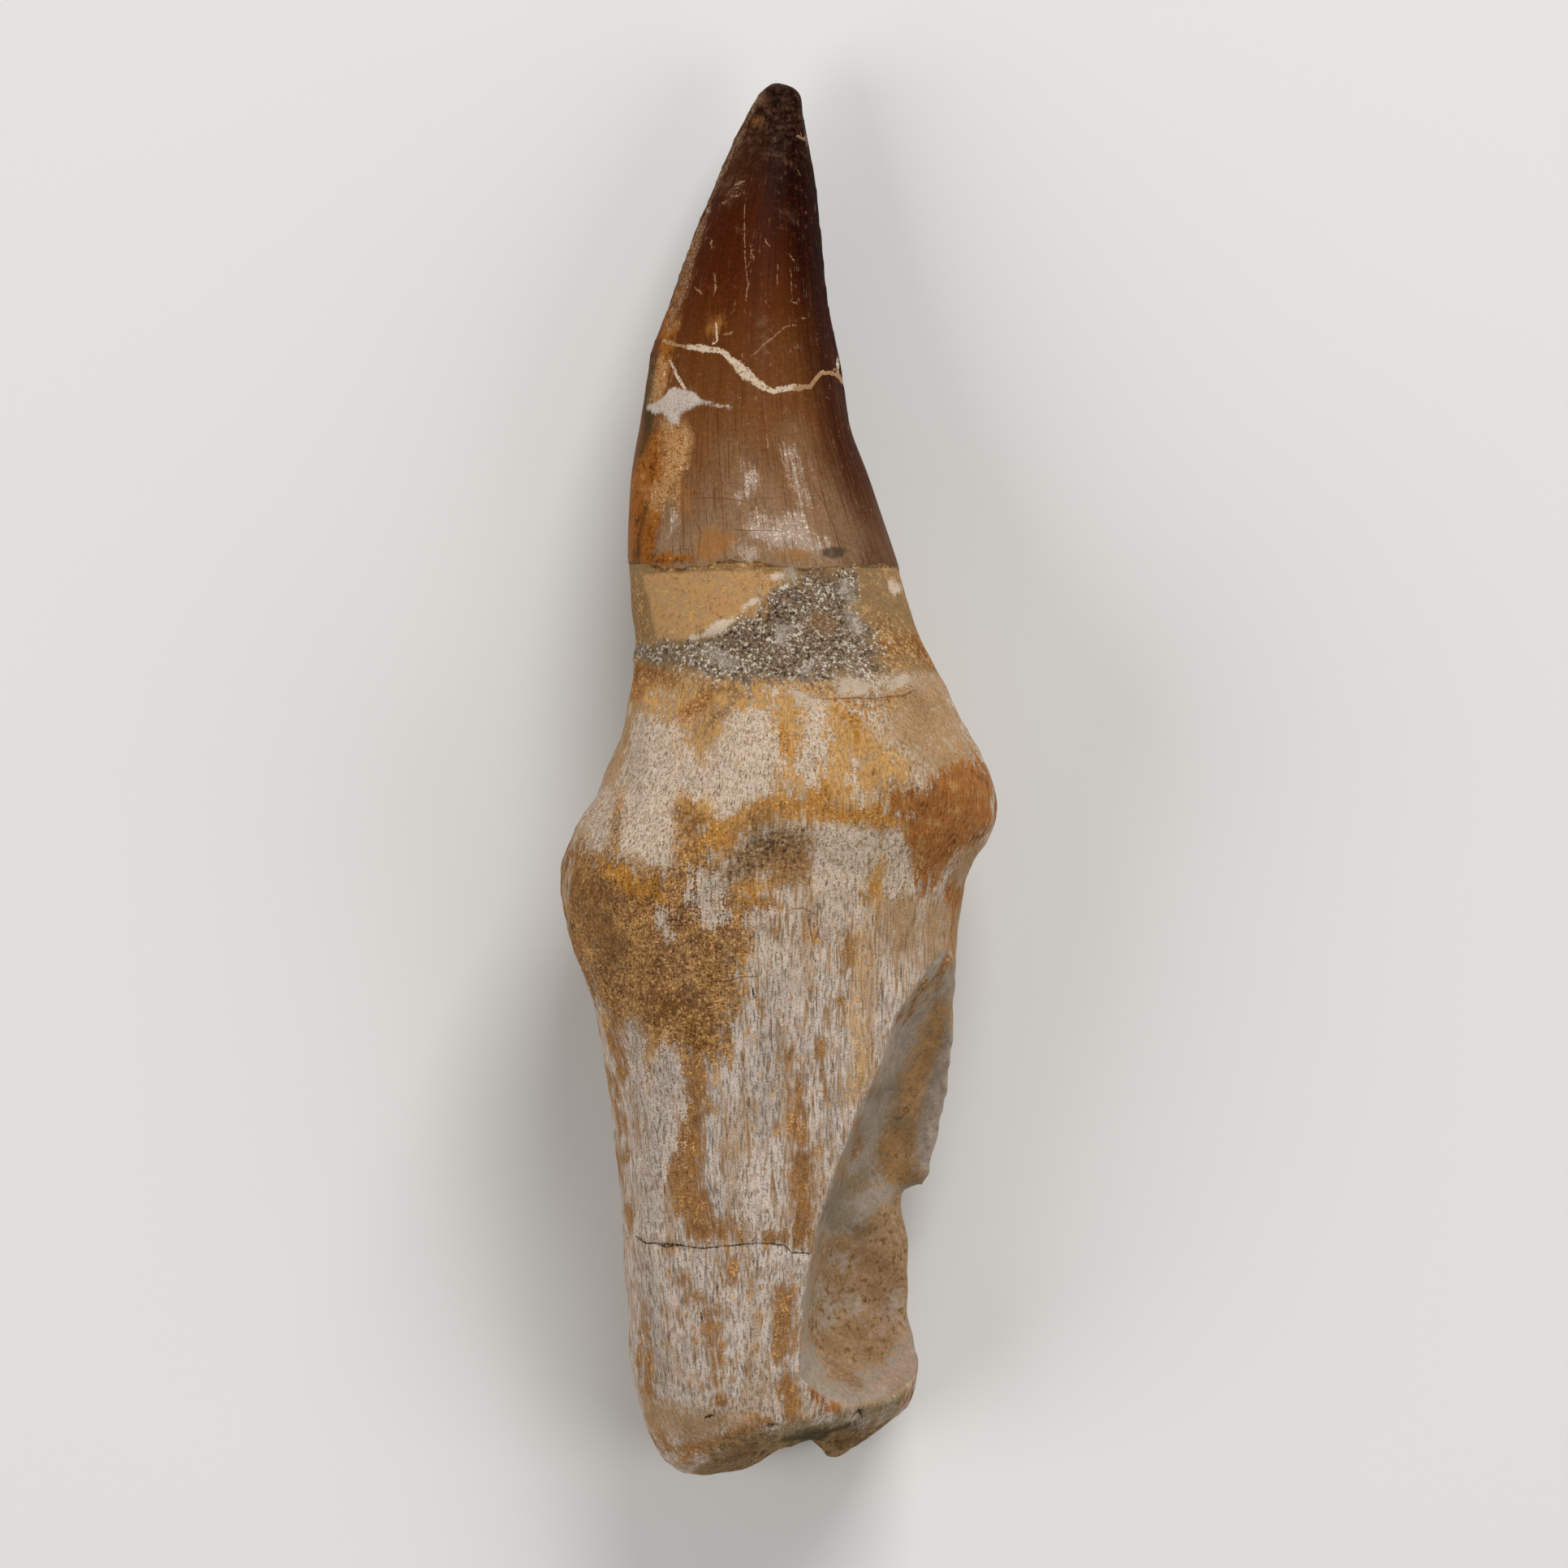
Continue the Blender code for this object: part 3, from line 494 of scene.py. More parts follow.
# Lines: each point is a column, a row and half the line's width there
LINES = {
    "filler": [
        [(822, 422, 2.5), (840, 427, 1.6), (852, 429, 3.5), (868, 431, 5), (884, 432.5, 3),
         (892, 437, 3.4), (904, 448, 5), (918, 461, 7), (930, 471, 4.5), (940, 479, 3.6), (952, 484, 3.2),
         (966, 481, 4), (984, 479, 3.6), (998, 478, 3), (1004, 468, 2.4), (1012, 459.5, 2.6),
         (1023, 459.5, 2.4), (1032, 462.5, 2.6), (1040, 472, 2.6)],
        [(828, 448, 1.5), (835, 464, 2.2), (843, 478, 2)], [(883, 402, 1.2), (884, 420, 1.4)],
        [(1031, 443, 1.6), (1032, 456, 1.8)],
    ],
    "scratch": [
        [(928, 440, 0.8), (941, 427, 1.2), (952, 418, 1.1), (967, 404, 1), (978, 402, 1)],
        [(918.5, 246, 0.7), (917.3, 271, 0.7), (917.8, 310, 0.8), (919.8, 335, 0.7), (921.6, 353, 1.1),
         (918.6, 370, 0.8)], [(958, 327, 0.8), (957, 350, 0.8)], [(974, 335, 0.7), (974.7, 362, 0.8)],
        [(985, 166, 2.6), (990, 169, 2.6)], [(908, 227, 2), (914, 224.5, 2)],
        [(905, 241, 1.8), (908, 240, 1.6)], [(890, 250, 1.6), (892, 249, 1.6)],
        [(877, 297, 2.2), (877, 302, 1.6)], [(881.6, 340, 1.1), (882, 352, 1.8), (881, 362, 0.9)],
        [(859, 357, 1.5), (863, 360, 1.5)], [(927, 306, 1.2), (928, 318, 1.2)],
        [(944, 299, 1.3), (946, 302, 1.3)], [(974, 317, 1.5), (976, 320, 1.2)],
        [(982, 209, 1.2), (983, 211, 1.2)], [(945, 375, 1.2), (946, 378, 1.2)],
        [(976, 373, 1.2), (978, 374, 1.2)], [(988, 393, 1.5), (991, 392, 1.3)],
        [(896, 414, 2.2), (901, 412, 1.8)], [(990, 160, 1), (993, 176, 1)],
        [(945, 541, 1), (946, 551, 1.2)], [(964, 570, 1.2), (972, 590, 1.6), (975, 600, 1)],
        [(980, 606, 1), (984, 614, 1)], [(995, 566, 0.8), (1001, 590, 1)],
        [(998, 627, 1.8), (999, 629, 1.8)],
        [(930, 634, 1.2), (944, 642, 1), (962, 648, 1), (978, 640, 1.2)],
    ],
    "crack": [
        [(782, 1523, 1.2), (796, 1528, 1.4), (810, 1529, 1), (817, 1532, 2.8), (826, 1530.5, 3),
         (842, 1530, 1), (862, 1533.5, 1.2), (882, 1531.5, 1), (910, 1529, 1.1), (934, 1526.5, 0.9),
         (954, 1527.5, 1), (968, 1530, 1.3), (976, 1538, 1.3), (996, 1539, 1)],
        [(928.5, 1219, 2), (929.5, 1222, 2.2)], [(873, 1741, 2.2), (877, 1739, 2.2)],
        [(948, 1751, 2.2), (955, 1750, 2.4)], [(1054, 1740, 1), (1060, 1736, 1.6), (1062, 1741, 1.2)],
        [(864, 1617, 2), (864, 1620, 2)],
    ],
    "hairline": [
        [(873, 1207, 0.8), (900, 1206, 1), (912, 1201, 1.1), (932, 1200, 0.9)],
        [(975, 1118, 0.8), (990, 1117, 1), (1004, 1124, 0.9)],
        [(862, 616, 0.7), (890, 616, 0.9), (915, 620, 0.6)],
        [(905, 655, 0.6), (930, 656, 0.7), (960, 656, 0.6)],
        [(858, 644, 0.7), (864, 656, 0.8), (861, 690, 0.7)],
        [(1000, 600, 0.7), (1014, 622, 0.7), (1028, 655, 0.9), (1033, 676, 0.7)],
        [(799, 622, 1.2), (794, 640, 1.4), (788, 668, 1.2), (787, 690, 1.2)],
        [(995, 1124, 1), (998, 1142, 1.2), (1001, 1158, 1)], [(1006, 1132, 1), (1009, 1154, 1.1)],
        [(1001, 1170, 1.1), (1003, 1180, 1.4)], [(1030, 1168, 1), (1031, 1190, 1.2)],
        [(1085, 1206, 1), (1086, 1232, 1.1)], [(996, 1216, 1.1), (997, 1230, 1.2)],
        [(1006, 1212, 1), (1006, 1236, 1.1)], [(916, 1295, 0.9), (917, 1312, 1)],
        [(950, 1240, 0.7), (951, 1290, 0.8)], [(1062, 1228, 0.8), (1062, 1250, 0.9)],
        [(943, 1360, 0.9), (944, 1380, 1)], [(884, 1160, 0.8), (883, 1200, 0.7)],
        [(933, 1550, 0.9), (933, 1568, 1)],
        [(1000, 862, 0.8), (1040, 861, 0.9), (1080, 862, 1), (1112, 858, 1.2), (1130, 850, 1)],
    ],
}


def linear(name):
    """A colour of the list above as the linear values that shaders take."""
    steps = np.array(COLOURS[name]) / 255
    return (*(((steps + 0.055) / 1.055) ** 2.4), 1.0)


def smooth_step(value, low, high):
    """0 below low, 1 above high and a smooth climb between them."""
    t = np.clip((value - low) / (high - low), 0.0, 1.0)
    return t * t * (3 - 2 * t)


def wander(points, size, octaves, seed):
    """Smooth random values from about -1 to 1 at points in millimetres; size is that of a swelling."""
    places = np.asarray(points) / size + seed
    return np.array([noise.fractal(Vector(place), 1.0, 2.0, octaves) for place in places])


def fine_mesh(node):
    """A copy of the solid with a fine, even mesh and no facets."""
    bm = bmesh.new()
    bm.from_mesh(node.data)
    bmesh.ops.remove_doubles(bm, verts=bm.verts, dist=0.001 * MM)
    mesh = bpy.data.meshes.new("fossil_tooth")
    bm.to_mesh(mesh)
    bm.free()
    made = bpy.data.objects.new("fossil_tooth", mesh)
    bpy.context.scene.collection.objects.link(made)

    rounded = made.modifiers.new("rounded", "SUBSURF")
    rounded.levels = rounded.render_levels = 1
    remesh = made.modifiers.new("even", "REMESH")
    remesh.mode = "VOXEL"
    remesh.voxel_size = VOXEL * MM
    smooth = made.modifiers.new("smooth", "SMOOTH")
    smooth.iterations = SMOOTHING
    bpy.context.view_layer.update()
    evaluated = made.evaluated_get(bpy.context.evaluated_depsgraph_get())
    fine = bpy.data.meshes.new_from_object(evaluated)
    made.modifiers.clear()
    made.data = fine
    fine.name = "fossil_tooth"
    fine.materials.clear()
    fine.shade_smooth()
    return made


def read_points(mesh):
    """Places and normals of the mesh's points, places in millimetres."""
    places = np.zeros(len(mesh.vertices) * 3)
    normals = np.zeros(len(mesh.vertices) * 3)
    mesh.vertices.foreach_get("co", places)
    mesh.vertex_normals.foreach_get("vector", normals)
    return places.reshape(-1, 3) / MM, normals.reshape(-1, 3)


def photo_plane(points):
    """Column and row of the photograph over each point."""
    return ORIGIN_COLUMN + points[:, 0] / PIXEL, ORIGIN_ROW - points[:, 1] / PIXEL


def calm_hollow(mesh):
    """Smooths the hollow's floor and thin wall, which the solid's large triangles leave wavy."""
    points, normals = read_points(mesh)
    columns, rows = photo_plane(points)
    depth = shape_depth(columns, rows, SHAPES["hollow"])
    floor_points = (depth > HOLLOW_BORDER) & (normals[:, 2] > FACES_UP)
    wall_points = (depth > 0) & (columns > WALL_COLUMN) & (rows > WALL_ROWS[0]) & (rows < WALL_ROWS[1])
    bm = bmesh.new()
    bm.from_mesh(mesh)
    bm.verts.ensure_lookup_table()
    for picked, rounds in ((floor_points, HOLLOW_SMOOTHING), (wall_points, WALL_SMOOTHING)):
        chosen = [bm.verts[index] for index in np.flatnonzero(picked)]
        for _ in range(rounds):
            bmesh.ops.smooth_vert(bm, verts=chosen, factor=0.5, use_axis_x=True, use_axis_y=True,
                                  use_axis_z=True)
    bm.to_mesh(mesh)
    bm.free()


def fit_outline(mesh):
    """Pulls the fine mesh to the photograph's outline where the solid falls short of it."""
    points, _ = read_points(mesh)
    columns, rows = photo_plane(points)
    for column, row, reach, right, down in PULLS:
        share = np.exp(-((columns - column) ** 2 + (rows - row) ** 2) / (2 * reach ** 2))
        points[:, 0] += share * right * PIXEL
        points[:, 1] -= share * down * PIXEL
    mesh.vertices.foreach_set("co", (points * MM).ravel())
    mesh.update()


def ring_turn(points):
    """For each point, its direction round the tooth's axis, as across and up on a unit circle."""
    along = points[:, 1]
    slices = np.arange(along.min(), along.max() + SLICE, SLICE)
    index = np.clip(((along - slices[0]) / SLICE).astype(int), 0, len(slices) - 1)
    limits = []
    for axis in (0, 2):
        low = np.full(len(slices), np.inf)
        high = np.full(len(slices), -np.inf)
        np.minimum.at(low, index, points[:, axis])
        np.maximum.at(high, index, points[:, axis])
        filled = np.isfinite(low)
        kernel = np.ones(SLICE_BLUR) / SLICE_BLUR
        for edge in (low, high):
            edge[:] = np.interp(slices, slices[filled], edge[filled])
            padded = np.pad(edge, SLICE_BLUR // 2, mode="edge")
            edge[:] = np.convolve(padded, kernel, mode="valid")
        limits.append((np.interp(along, slices, low), np.interp(along, slices, high)))
    (left, right), (under, over) = limits
    across = (points[:, 0] - (left + right) / 2) / (right - left)
    up = (points[:, 2] - (under + over) / 2) / (over - under)
    size = np.hypot(across, up) + 1e-9
    return across / size, up / size


def photo_places(points, normals, up):
    """Column and row of the photograph for each point, pushed about on the back that it doesn't show."""
    columns, rows = photo_plane(points)
    behind = (1 - smooth_step(up, BACK_FULL, BACK_START)) * (1 - smooth_step(normals[:, 2], -0.1, 0.1))
    columns = columns + behind * WARP_COLUMNS * wander(points, WARP_SCALE, 2, 4.7)
    rows = rows + behind * WARP_ROWS * wander(points, WARP_SCALE, 2, 9.1)
    on_root = smooth_step(TIP_Y - points[:, 1], ENAMEL_END, NECK_END)
    steep = on_root * (1 - smooth_step(np.abs(normals[:, 2]), STEEP_FULL, STEEP_START))
    columns = columns + steep * STEEP_WARP * wander(points, STEEP_SCALE, 2, 7.3)
    rows = rows + steep * STEEP_WARP * wander(points, STEEP_SCALE, 2, 12.9)
    return columns, rows, behind


def segments(line):
    """The straight pieces of a line of columns, rows and half widths."""
    if len(line) == 1:
        return [(line[0], line[0])]
    return list(zip(line, line[1:]))


def from_segment(columns, rows, start, end):
    """Distance from a straight piece, the side it lies on and half the piece's width there."""
    run = np.array(end[:2]) - np.array(start[:2])
    away_x, away_y = columns - start[0], rows - start[1]
    share = np.clip((away_x * run[0] + away_y * run[1]) / max(run @ run, 1e-9), 0, 1)
    distance = np.hypot(away_x - share * run[0], away_y - share * run[1])
    side = np.where(run[0] * away_y - run[1] * away_x < 0, -1.0, 1.0)
    return distance, side, start[2] + share * (end[2] - start[2])


def line_fields(columns, rows, lines):
    """Across, in half widths with its side's sign, and how far outside the nearest line, in pixels."""
    near = np.full(len(columns), 1e3)
    across = np.full(len(columns), 1e3)
    for line in lines:
        for start, end in segments(line):
            distance, side, half_width = from_segment(columns, rows, start, end)
            closer = distance - half_width < near
            near = np.where(closer, distance - half_width, near)
            across = np.where(closer, side * distance / half_width, across)
    return across, near


def outline_depth(columns, rows, outline):
    """How deep each place lies inside a closed outline, in pixels, below 0 outside."""
    nearest = np.full(len(columns), 1e3)
    inside = np.zeros(len(columns), bool)
    for start, end in zip(outline, outline[1:] + outline[:1]):
        distance, _, _ = from_segment(columns, rows, (*start, 0), (*end, 0))
        nearest = np.minimum(nearest, distance)
        beside = (start[1] > rows) != (end[1] > rows)
        rise = end[1] - start[1] if end[1] != start[1] else 1e-9
        crossing = start[0] + (rows - start[1]) / rise * (end[0] - start[0])
        inside ^= beside & (columns < crossing)
    return np.where(inside, nearest, -nearest)


def shape_depth(columns, rows, shapes):
    """How deep each place lies inside the shapes of a zone, in millimetres, below 0 outside."""
    _, outside_strokes = line_fields(columns, rows, [shape for shape in shapes if len(shape[0]) == 3])
    outlines = [outline_depth(columns, rows, shape) for shape in shapes if len(shape[0]) == 2]
    return np.max([-outside_strokes, *outlines], axis=0) * PIXEL


def enamel_depth(points):
    """How far each point lies above the enamel's wavy edge, along the tooth."""
    from_tip = TIP_Y - points[:, 1]
    wave = EDGE_WAVE * np.sin(0.45 * points[:, 0] + 0.3 * points[:, 2])
    return ENAMEL_END + wave + EDGE_BITES * wander(points, 1.8, 3, 3.0) - from_tip


def paint(points, normals, up):
    """Every field that relief and colours share, by name."""
    columns, rows, behind = photo_places(points, normals, up)
    fields = {name: shape_depth(columns, rows, shapes) for name, shapes in SHAPES.items()}
    front_hollow = shape_depth(*photo_plane(points), SHAPES["hollow"])
    fields["hollow"] = np.where(behind < 0.5, front_hollow, -NO_HOLLOW)
    for name, lines in LINES.items():
        fields[name + "_across"], fields[name + "_near"] = line_fields(columns, rows, lines)
    fields["enamel"] = enamel_depth(points)
    fields["root"] = TIP_Y - points[:, 1] - ROOT_START
    fields["column"] = (columns - ORIGIN_COLUMN) * PIXEL
    return fields


def groove(fields, name, depth):
    """A rounded groove along painted lines."""
    across = np.minimum(np.abs(fields[name + "_across"]), 9)
    return -depth * np.exp(-across ** 2 / 2) * smooth_step(-fields[name + "_near"], -5, -1)


def relief(points, flow, fields):
    """How far the fine surface stands out from the solid, in millimetres."""
    root = smooth_step(fields["root"], -1.5, 1.5)
    enamel = smooth_step(fields["enamel"], -0.25, 0.25)
    sand = smooth_step(fields["sand"], -0.4, 0.5)
    ochre = smooth_step(np.max([fields[name] for name in ("ochre", "stripes", "dip")], axis=0), -0.4, 0.4)
    fibres = wander(flow * np.array([1, 0.11, 1]), 1.1, 3, 2.0)
    ripples = wander(flow * np.array([1, 0.04, 1]), 1.3, 2, 1.0)
    lumps = wander(points, 3.2, 3, 5.0)
    grains = wander(points, 0.9, 2, 8.0)

    height = root * (FIBRES * fibres + LUMPS * lumps)
    height += OCHRE_GRAINS * grains * ochre
    height += sand * (SAND_RISE + SAND_GRAINS * grains) * (1 - enamel)
    height += (1 - root) * (1 - enamel) * NECK_LUMPS * lumps
    height += enamel * (ENAMEL_RISE + ENAMEL_RIPPLES * ripples)
    for name, (rise, edge) in RAISED.items():
        height += rise * smooth_step(fields[name], -edge, edge)
    for name, (rise, edge) in GRAINY.items():
        height += rise * grains * smooth_step(fields[name], -edge, edge)
    return height + groove(fields, "crack", CRACK_DEPTH) + groove(fields, "filler", FILLER_DEPTH)


def dress(node):
    """The fine mesh of the tooth with its relief and the fields that its material reads."""
    made = fine_mesh(node)
    calm_hollow(made.data)
    fit_outline(made.data)
    points, normals = read_points(made.data)
    across, up = ring_turn(points)
    fields = paint(points, normals, up)
    ring = np.stack([across * FLOW_RADIUS, points[:, 1], up * FLOW_RADIUS], axis=1)
    flow = np.where(fields["enamel"][:, None] > 0, ring, points)
    moved = points + normals * relief(points, flow, fields)[:, None]
    moved[:, 2] = np.maximum(moved[:, 2], 0.0)
    made.data.vertices.foreach_set("co", (moved * MM).ravel())
    made.data.update()

    for name, values in fields.items():
        layer = made.data.attributes.new(name, "FLOAT", "POINT")
        layer.data.foreach_set("value", np.clip(values, -100, 100).astype(np.float32))
    layer = made.data.attributes.new("flow", "FLOAT_VECTOR", "POINT")
    layer.data.foreach_set("vector", flow.astype(np.float32).ravel())
    made.data.materials.append(fossil_material())
    return made


class Field:
    """A number at each place of the surface, made by the nodes behind one socket."""

    def __init__(self, graph, socket):
        self.graph = graph
        self.socket = socket

    def __add__(self, other):
        return self.graph.calc("ADD", self, other)

    def __sub__(self, other):
        return self.graph.calc("SUBTRACT", self, other)

    def __rsub__(self, other):
        return self.graph.calc("SUBTRACT", other, self)

    def __mul__(self, other):
        return self.graph.calc("MULTIPLY", self, other)

    __radd__ = __add__

    def __abs__(self):
        return self.graph.calc("ABSOLUTE", self)

    def step(self, low, high):
        """0 below low, 1 above high and a smooth climb between them."""
        inputs = {"Value": self, "From Min": low, "From Max": high}
        return self.graph.node("ShaderNodeMapRange", inputs, interpolation_type="SMOOTHSTEP")


class Graph:
    """A material's nodes, with a short call for each kind that is used here."""

    def __init__(self, name):
        self.material = bpy.data.materials.new(name)
        self.material.use_nodes = True
        self.tree = self.material.node_tree
        self.shader = self.tree.nodes["Principled BSDF"].inputs

    def fill(self, socket, value):
        """Links a field to a socket, or sets the socket to a number or colour."""
        if isinstance(value, Field):
            self.tree.links.new(value.socket, socket)
        else:
            socket.default_value = value

    def node(self, kind, inputs, output=0, **settings):
        """A new node with its settings and inputs, as the field behind one of its outputs."""
        made = self.tree.nodes.new(kind)
        for name, value in settings.items():
            setattr(made, name, value)
        for name, value in inputs.items():
            self.fill(made.inputs[name], value)
        return Field(self, made.outputs[output])

    def calc(self, operation, first, second=0.0):
        return self.node("ShaderNodeMath", {0: first, 1: second}, operation=operation)

    def ramp(self, value, stops):
        """Colours at their own places from 0 to 1, blended between them."""
        made = self.tree.nodes.new("ShaderNodeValToRGB")
        elements = made.color_ramp.elements
        elements.remove(elements[-1])
        for index, (place, name) in enumerate(stops):
            element = elements.new(place) if index else elements[0]
            element.position = place
            element.color = linear(name)
        self.fill(made.inputs["Fac"], value)
        return Field(self, made.outputs["Color"])

    def stretch(self, vector, scale):
        return self.node("ShaderNodeVectorMath", {0: vector, 1: scale}, operation="MULTIPLY")

    def noise(self, vector, size, detail, roughness=0.5):
        inputs = {"Vector": vector, "Scale": 1 / size, "Detail": detail, "Roughness": roughness}
        return self.node("ShaderNodeTexNoise", inputs, "Fac")

    def painted(self, *names):
        """A painted field, or the highest of several."""
        fields = [self.node("ShaderNodeAttribute", {}, "Fac", attribute_name=name) for name in names]
        return functools.reduce(lambda first, second: self.calc("MAXIMUM", first, second), fields)


class Fossil(Graph):
    """The fossil's nodes: its noises by name, and the shares and tones that are made of them."""

    def __init__(self):
        super().__init__("fossil_bone")
        metres = self.node("ShaderNodeTexCoord", {}, "Object")
        place = self.stretch(metres, (1 / MM, 1 / MM, 1 / MM))
        self.drift = self.noise(place, 7.0, 2)
        self.mottle = self.noise(place, 2.4, 3, 0.6)
        self.patchy = self.noise(place, 0.8, 2, 0.6)
        self.chip = self.noise(place, 0.36, 1.5, 0.6)
        self.grain = self.noise(place, 0.17, 1.5, 0.6)
        cells = {"Vector": place, "Scale": 1 / CELL_SIZE}
        self.cell_edge = self.node("ShaderNodeTexVoronoi", cells, "Distance")
        tint = self.node("ShaderNodeTexVoronoi", cells, "Color")
        self.cell = self.node("ShaderNodeSeparateColor", {"Color": tint}, "Red")
        self.flow = self.node("ShaderNodeAttribute", {}, "Vector", attribute_name="flow")
        self.streak = self.along(0.06, 2.2, 2)
        self.bands = self.along(0.05, 1.3, 2)
        self.fibre = self.along(0.09, 0.5, 2)
        self.vein = self.along(0.07, 0.36, 1.5)
        self.thread = self.along(0.13, 0.2, 1)
        self.dash = self.along(0.1, 0.17, 0.5)
        self.lines = self.along(0.03, 0.14, 1.5)
        self.rings = self.noise(self.stretch(self.flow, (0.1, 1, 0.1)), 0.22, 1.5)
        self.wobble = self.sway(mottle=1.6, fibre=1.3, grain=0.6)
        self.broken = (self.blend(fibre=0.34, mottle=0.24, grain=0.26, patchy=0.16) - 0.5) * 2.4 + 0.5
        self.sandy = self.blend(chip=0.5, cell=0.2, grain=0.3) + self.sway(mottle=0.25)

    def along(self, stretch, size, detail):
        """Noise drawn out along the tooth, round which the crown's surface is unrolled."""
        return self.noise(self.stretch(self.flow, (1, stretch, 1)), size, detail)

    def blend(self, **shares):
        """A mix of noises."""
        first, *others = [getattr(self, name) * share for name, share in shares.items()]
        return sum(others, first)

    def sway(self, **sizes):
        """A sum of noises that each go up and down about 0."""
        first, *others = [(getattr(self, name) - 0.5) * size for name, size in sizes.items()]
        return sum(others, first)

    def tones(self, names, low, high, **shares):
        """Colours of the list in turn, as a mix of noises climbs from low to high."""
        return self.ramp(self.blend(**shares), list(zip(np.linspace(low, high, len(names)), names)))

    def zone(self, name, low, high, wobble=1.0):
        """Where a painted zone lies; its wobbly edge blends from low to high."""
        return (self.painted(name) + self.wobble * wobble).step(low, high)

    def stain(self, name, reach, flecks, crisp=0.07):
        """Where a stain lies: whole well inside its zone, breaking up into flecks towards its edge."""
        inputs = {"Value": self.painted(name) * (1 / reach), "Min": flecks, "Max": 1.0}
        depth = self.node("ShaderNodeClamp", inputs)
        return (self.broken + depth * 0.3).step(0.5 - crisp, 0.5 + crisp)

    def line(self, name, wobble, width=1.0):
        """Where one of the painted lines runs."""
        across = abs(self.painted(name + "_across") + wobble)
        near = self.painted(name + "_near")
        return (1 - across.step(width * 0.75, width * 1.15)) * (1 - near.step(2.5, 4.0))


class Surface:
    """Colour and roughness of the surface, to which each layer adds."""

    def __init__(self, graph, colour, roughness=None):
        self.graph = graph
        self.colour = colour
        self.roughness = roughness

    def cover(self, share, colour, roughness=None, kind="MIX"):
        """Lays a layer over what is there, where its share is above 0."""
        colour = linear(colour) if isinstance(colour, str) else colour
        inputs = {"Fac": share, "Color1": self.colour, "Color2": colour}
        self.colour = self.graph.node("ShaderNodeMixRGB", inputs, blend_type=kind)
        if roughness is not None:
            self.roughness = self.roughness + (roughness - self.roughness) * share

    def brighten(self, factor):
        """Makes what is there lighter or darker by a factor."""
        inputs = {"Color": self.colour, "Value": factor}
        self.colour = self.graph.node("ShaderNodeHueSaturation", inputs)


def fossil_material():
    """Enamel, sandy matrix and fibrous bone of the tooth, from the painted fields and noise."""
    g = Fossil()
    surface = bone(g)
    cream_and_beige(g, surface)
    stained = ochre_stains(g, surface)
    dip(g, surface)
    pale_bone(g, surface, stained)
    underside(g, surface)
    surface.cover(1 - g.painted("root").step(16.0, 36.0), "upper root", kind="MULTIPLY")
    surface.brighten(g.sway(thread=0.8, mottle=0.5) + 1)
    hollow(g, surface)
    neck(g, surface)
    enamel(g, surface)
    cracks(g, surface)
    surface.brighten(g.sway(grain=0.8, mottle=0.3) + 1)

    g.fill(g.shader["Base Color"], surface.colour)
    g.fill(g.shader["Roughness"], surface.roughness)
    bump = {"Strength": 1.0, "Distance": MM, "Height": fine_height(g)}
    g.fill(g.shader["Normal"], g.node("ShaderNodeBump", bump, "Normal"))
    g.fill(g.shader["IOR"], 1.5)
    g.fill(g.shader["Specular IOR Level"], 0.025)
    return g.material


def fine_height(g):
    """Height of the finest relief in millimetres: fibres, grains of sand and enamel lines."""
    enamel = g.painted("enamel").step(-0.1, 0.1)
    sandy = g.painted("sand").step(-0.3, 0.3)
    grainy = g.painted("ochre", "dip", "face_grain").step(-0.4, 0.4)
    smooth = g.painted("hollow", "tan").step(-0.2, 0.2)
    root = g.thread * 0.14 + g.grain * (grainy * 0.16 + 0.12 + sandy * 0.12)
    root = root + g.chip * sandy * 0.3 - g.cell_edge * (sandy * 0.12 + grainy * 0.08)
    crown = g.lines * 0.014 + g.grain * grainy * 0.12
    return root * (1 - smooth * 0.92) * (1 - enamel) + crown * enamel


def bone(g):
    """Pale fibrous bone: fine pale and tan threads, small dark dashes and ochre flecks."""
    threads = g.tones(["bone grey", "bone pale", "bone white", "bone white"], 0.34, 0.6,
                      fibre=0.25, thread=0.45, grain=0.3)
    surface = Surface(g, threads, g.grain * 0.1 + 0.7)
    surface.cover(g.mottle.step(0.48, 0.62) * 0.6, "bone dull")
    surface.cover(g.streak.step(0.5, 0.64) * 0.5, "bone beige")
    surface.cover(g.blend(vein=0.8, grain=0.2).step(0.54, 0.62) * 0.7, "bone tan")
    flecks = g.blend(thread=0.55, grain=0.45) + g.sway(mottle=0.2)
    surface.cover(flecks.step(0.58, 0.64) * 0.5, "fleck")
    surface.cover((g.dash + g.sway(mottle=0.18)).step(0.68, 0.73) * 0.65, "dash")
    return surface


def grainy_ochre(g, names):
    """Sandy stain: dark and light grains, and slower changes of tone."""
    sand = Surface(g, g.tones(names, 0.38, 0.6, grain=0.3, chip=0.16, patchy=0.16, mottle=0.16,
                              drift=0.14, cell=0.08))
    sparkle = g.cell.step(0.76, 0.8) * (1 - g.cell_edge.step(0.34, 0.5))
    sand.cover(sparkle * 0.7, "grain yellow")
    pits = (1 - g.cell.step(0.2, 0.24)) * (1 - g.cell_edge.step(0.35, 0.5))
    sand.cover(pits * 0.75, "dash")
    return sand.colour


def cream_and_beige(g, surface):
    """Soft cream and beige zones of the root."""
    cream = g.tones(["fleck", "bone cream", "bone cream", "bone beige", "bone white"], 0.36, 0.6,
                    mottle=0.45, patchy=0.3, fibre=0.25)
    surface.cover(g.zone("cream", -1.2, 1.2) * 0.85, cream)
    beige = g.tones(["bone tan", "bone beige", "bone beige", "bone pale"], 0.38, 0.62,
                    fibre=0.4, mottle=0.3, chip=0.3)
    surface.cover(g.zone("beige", -1.2, 1.2) * 0.9, beige, 0.62)


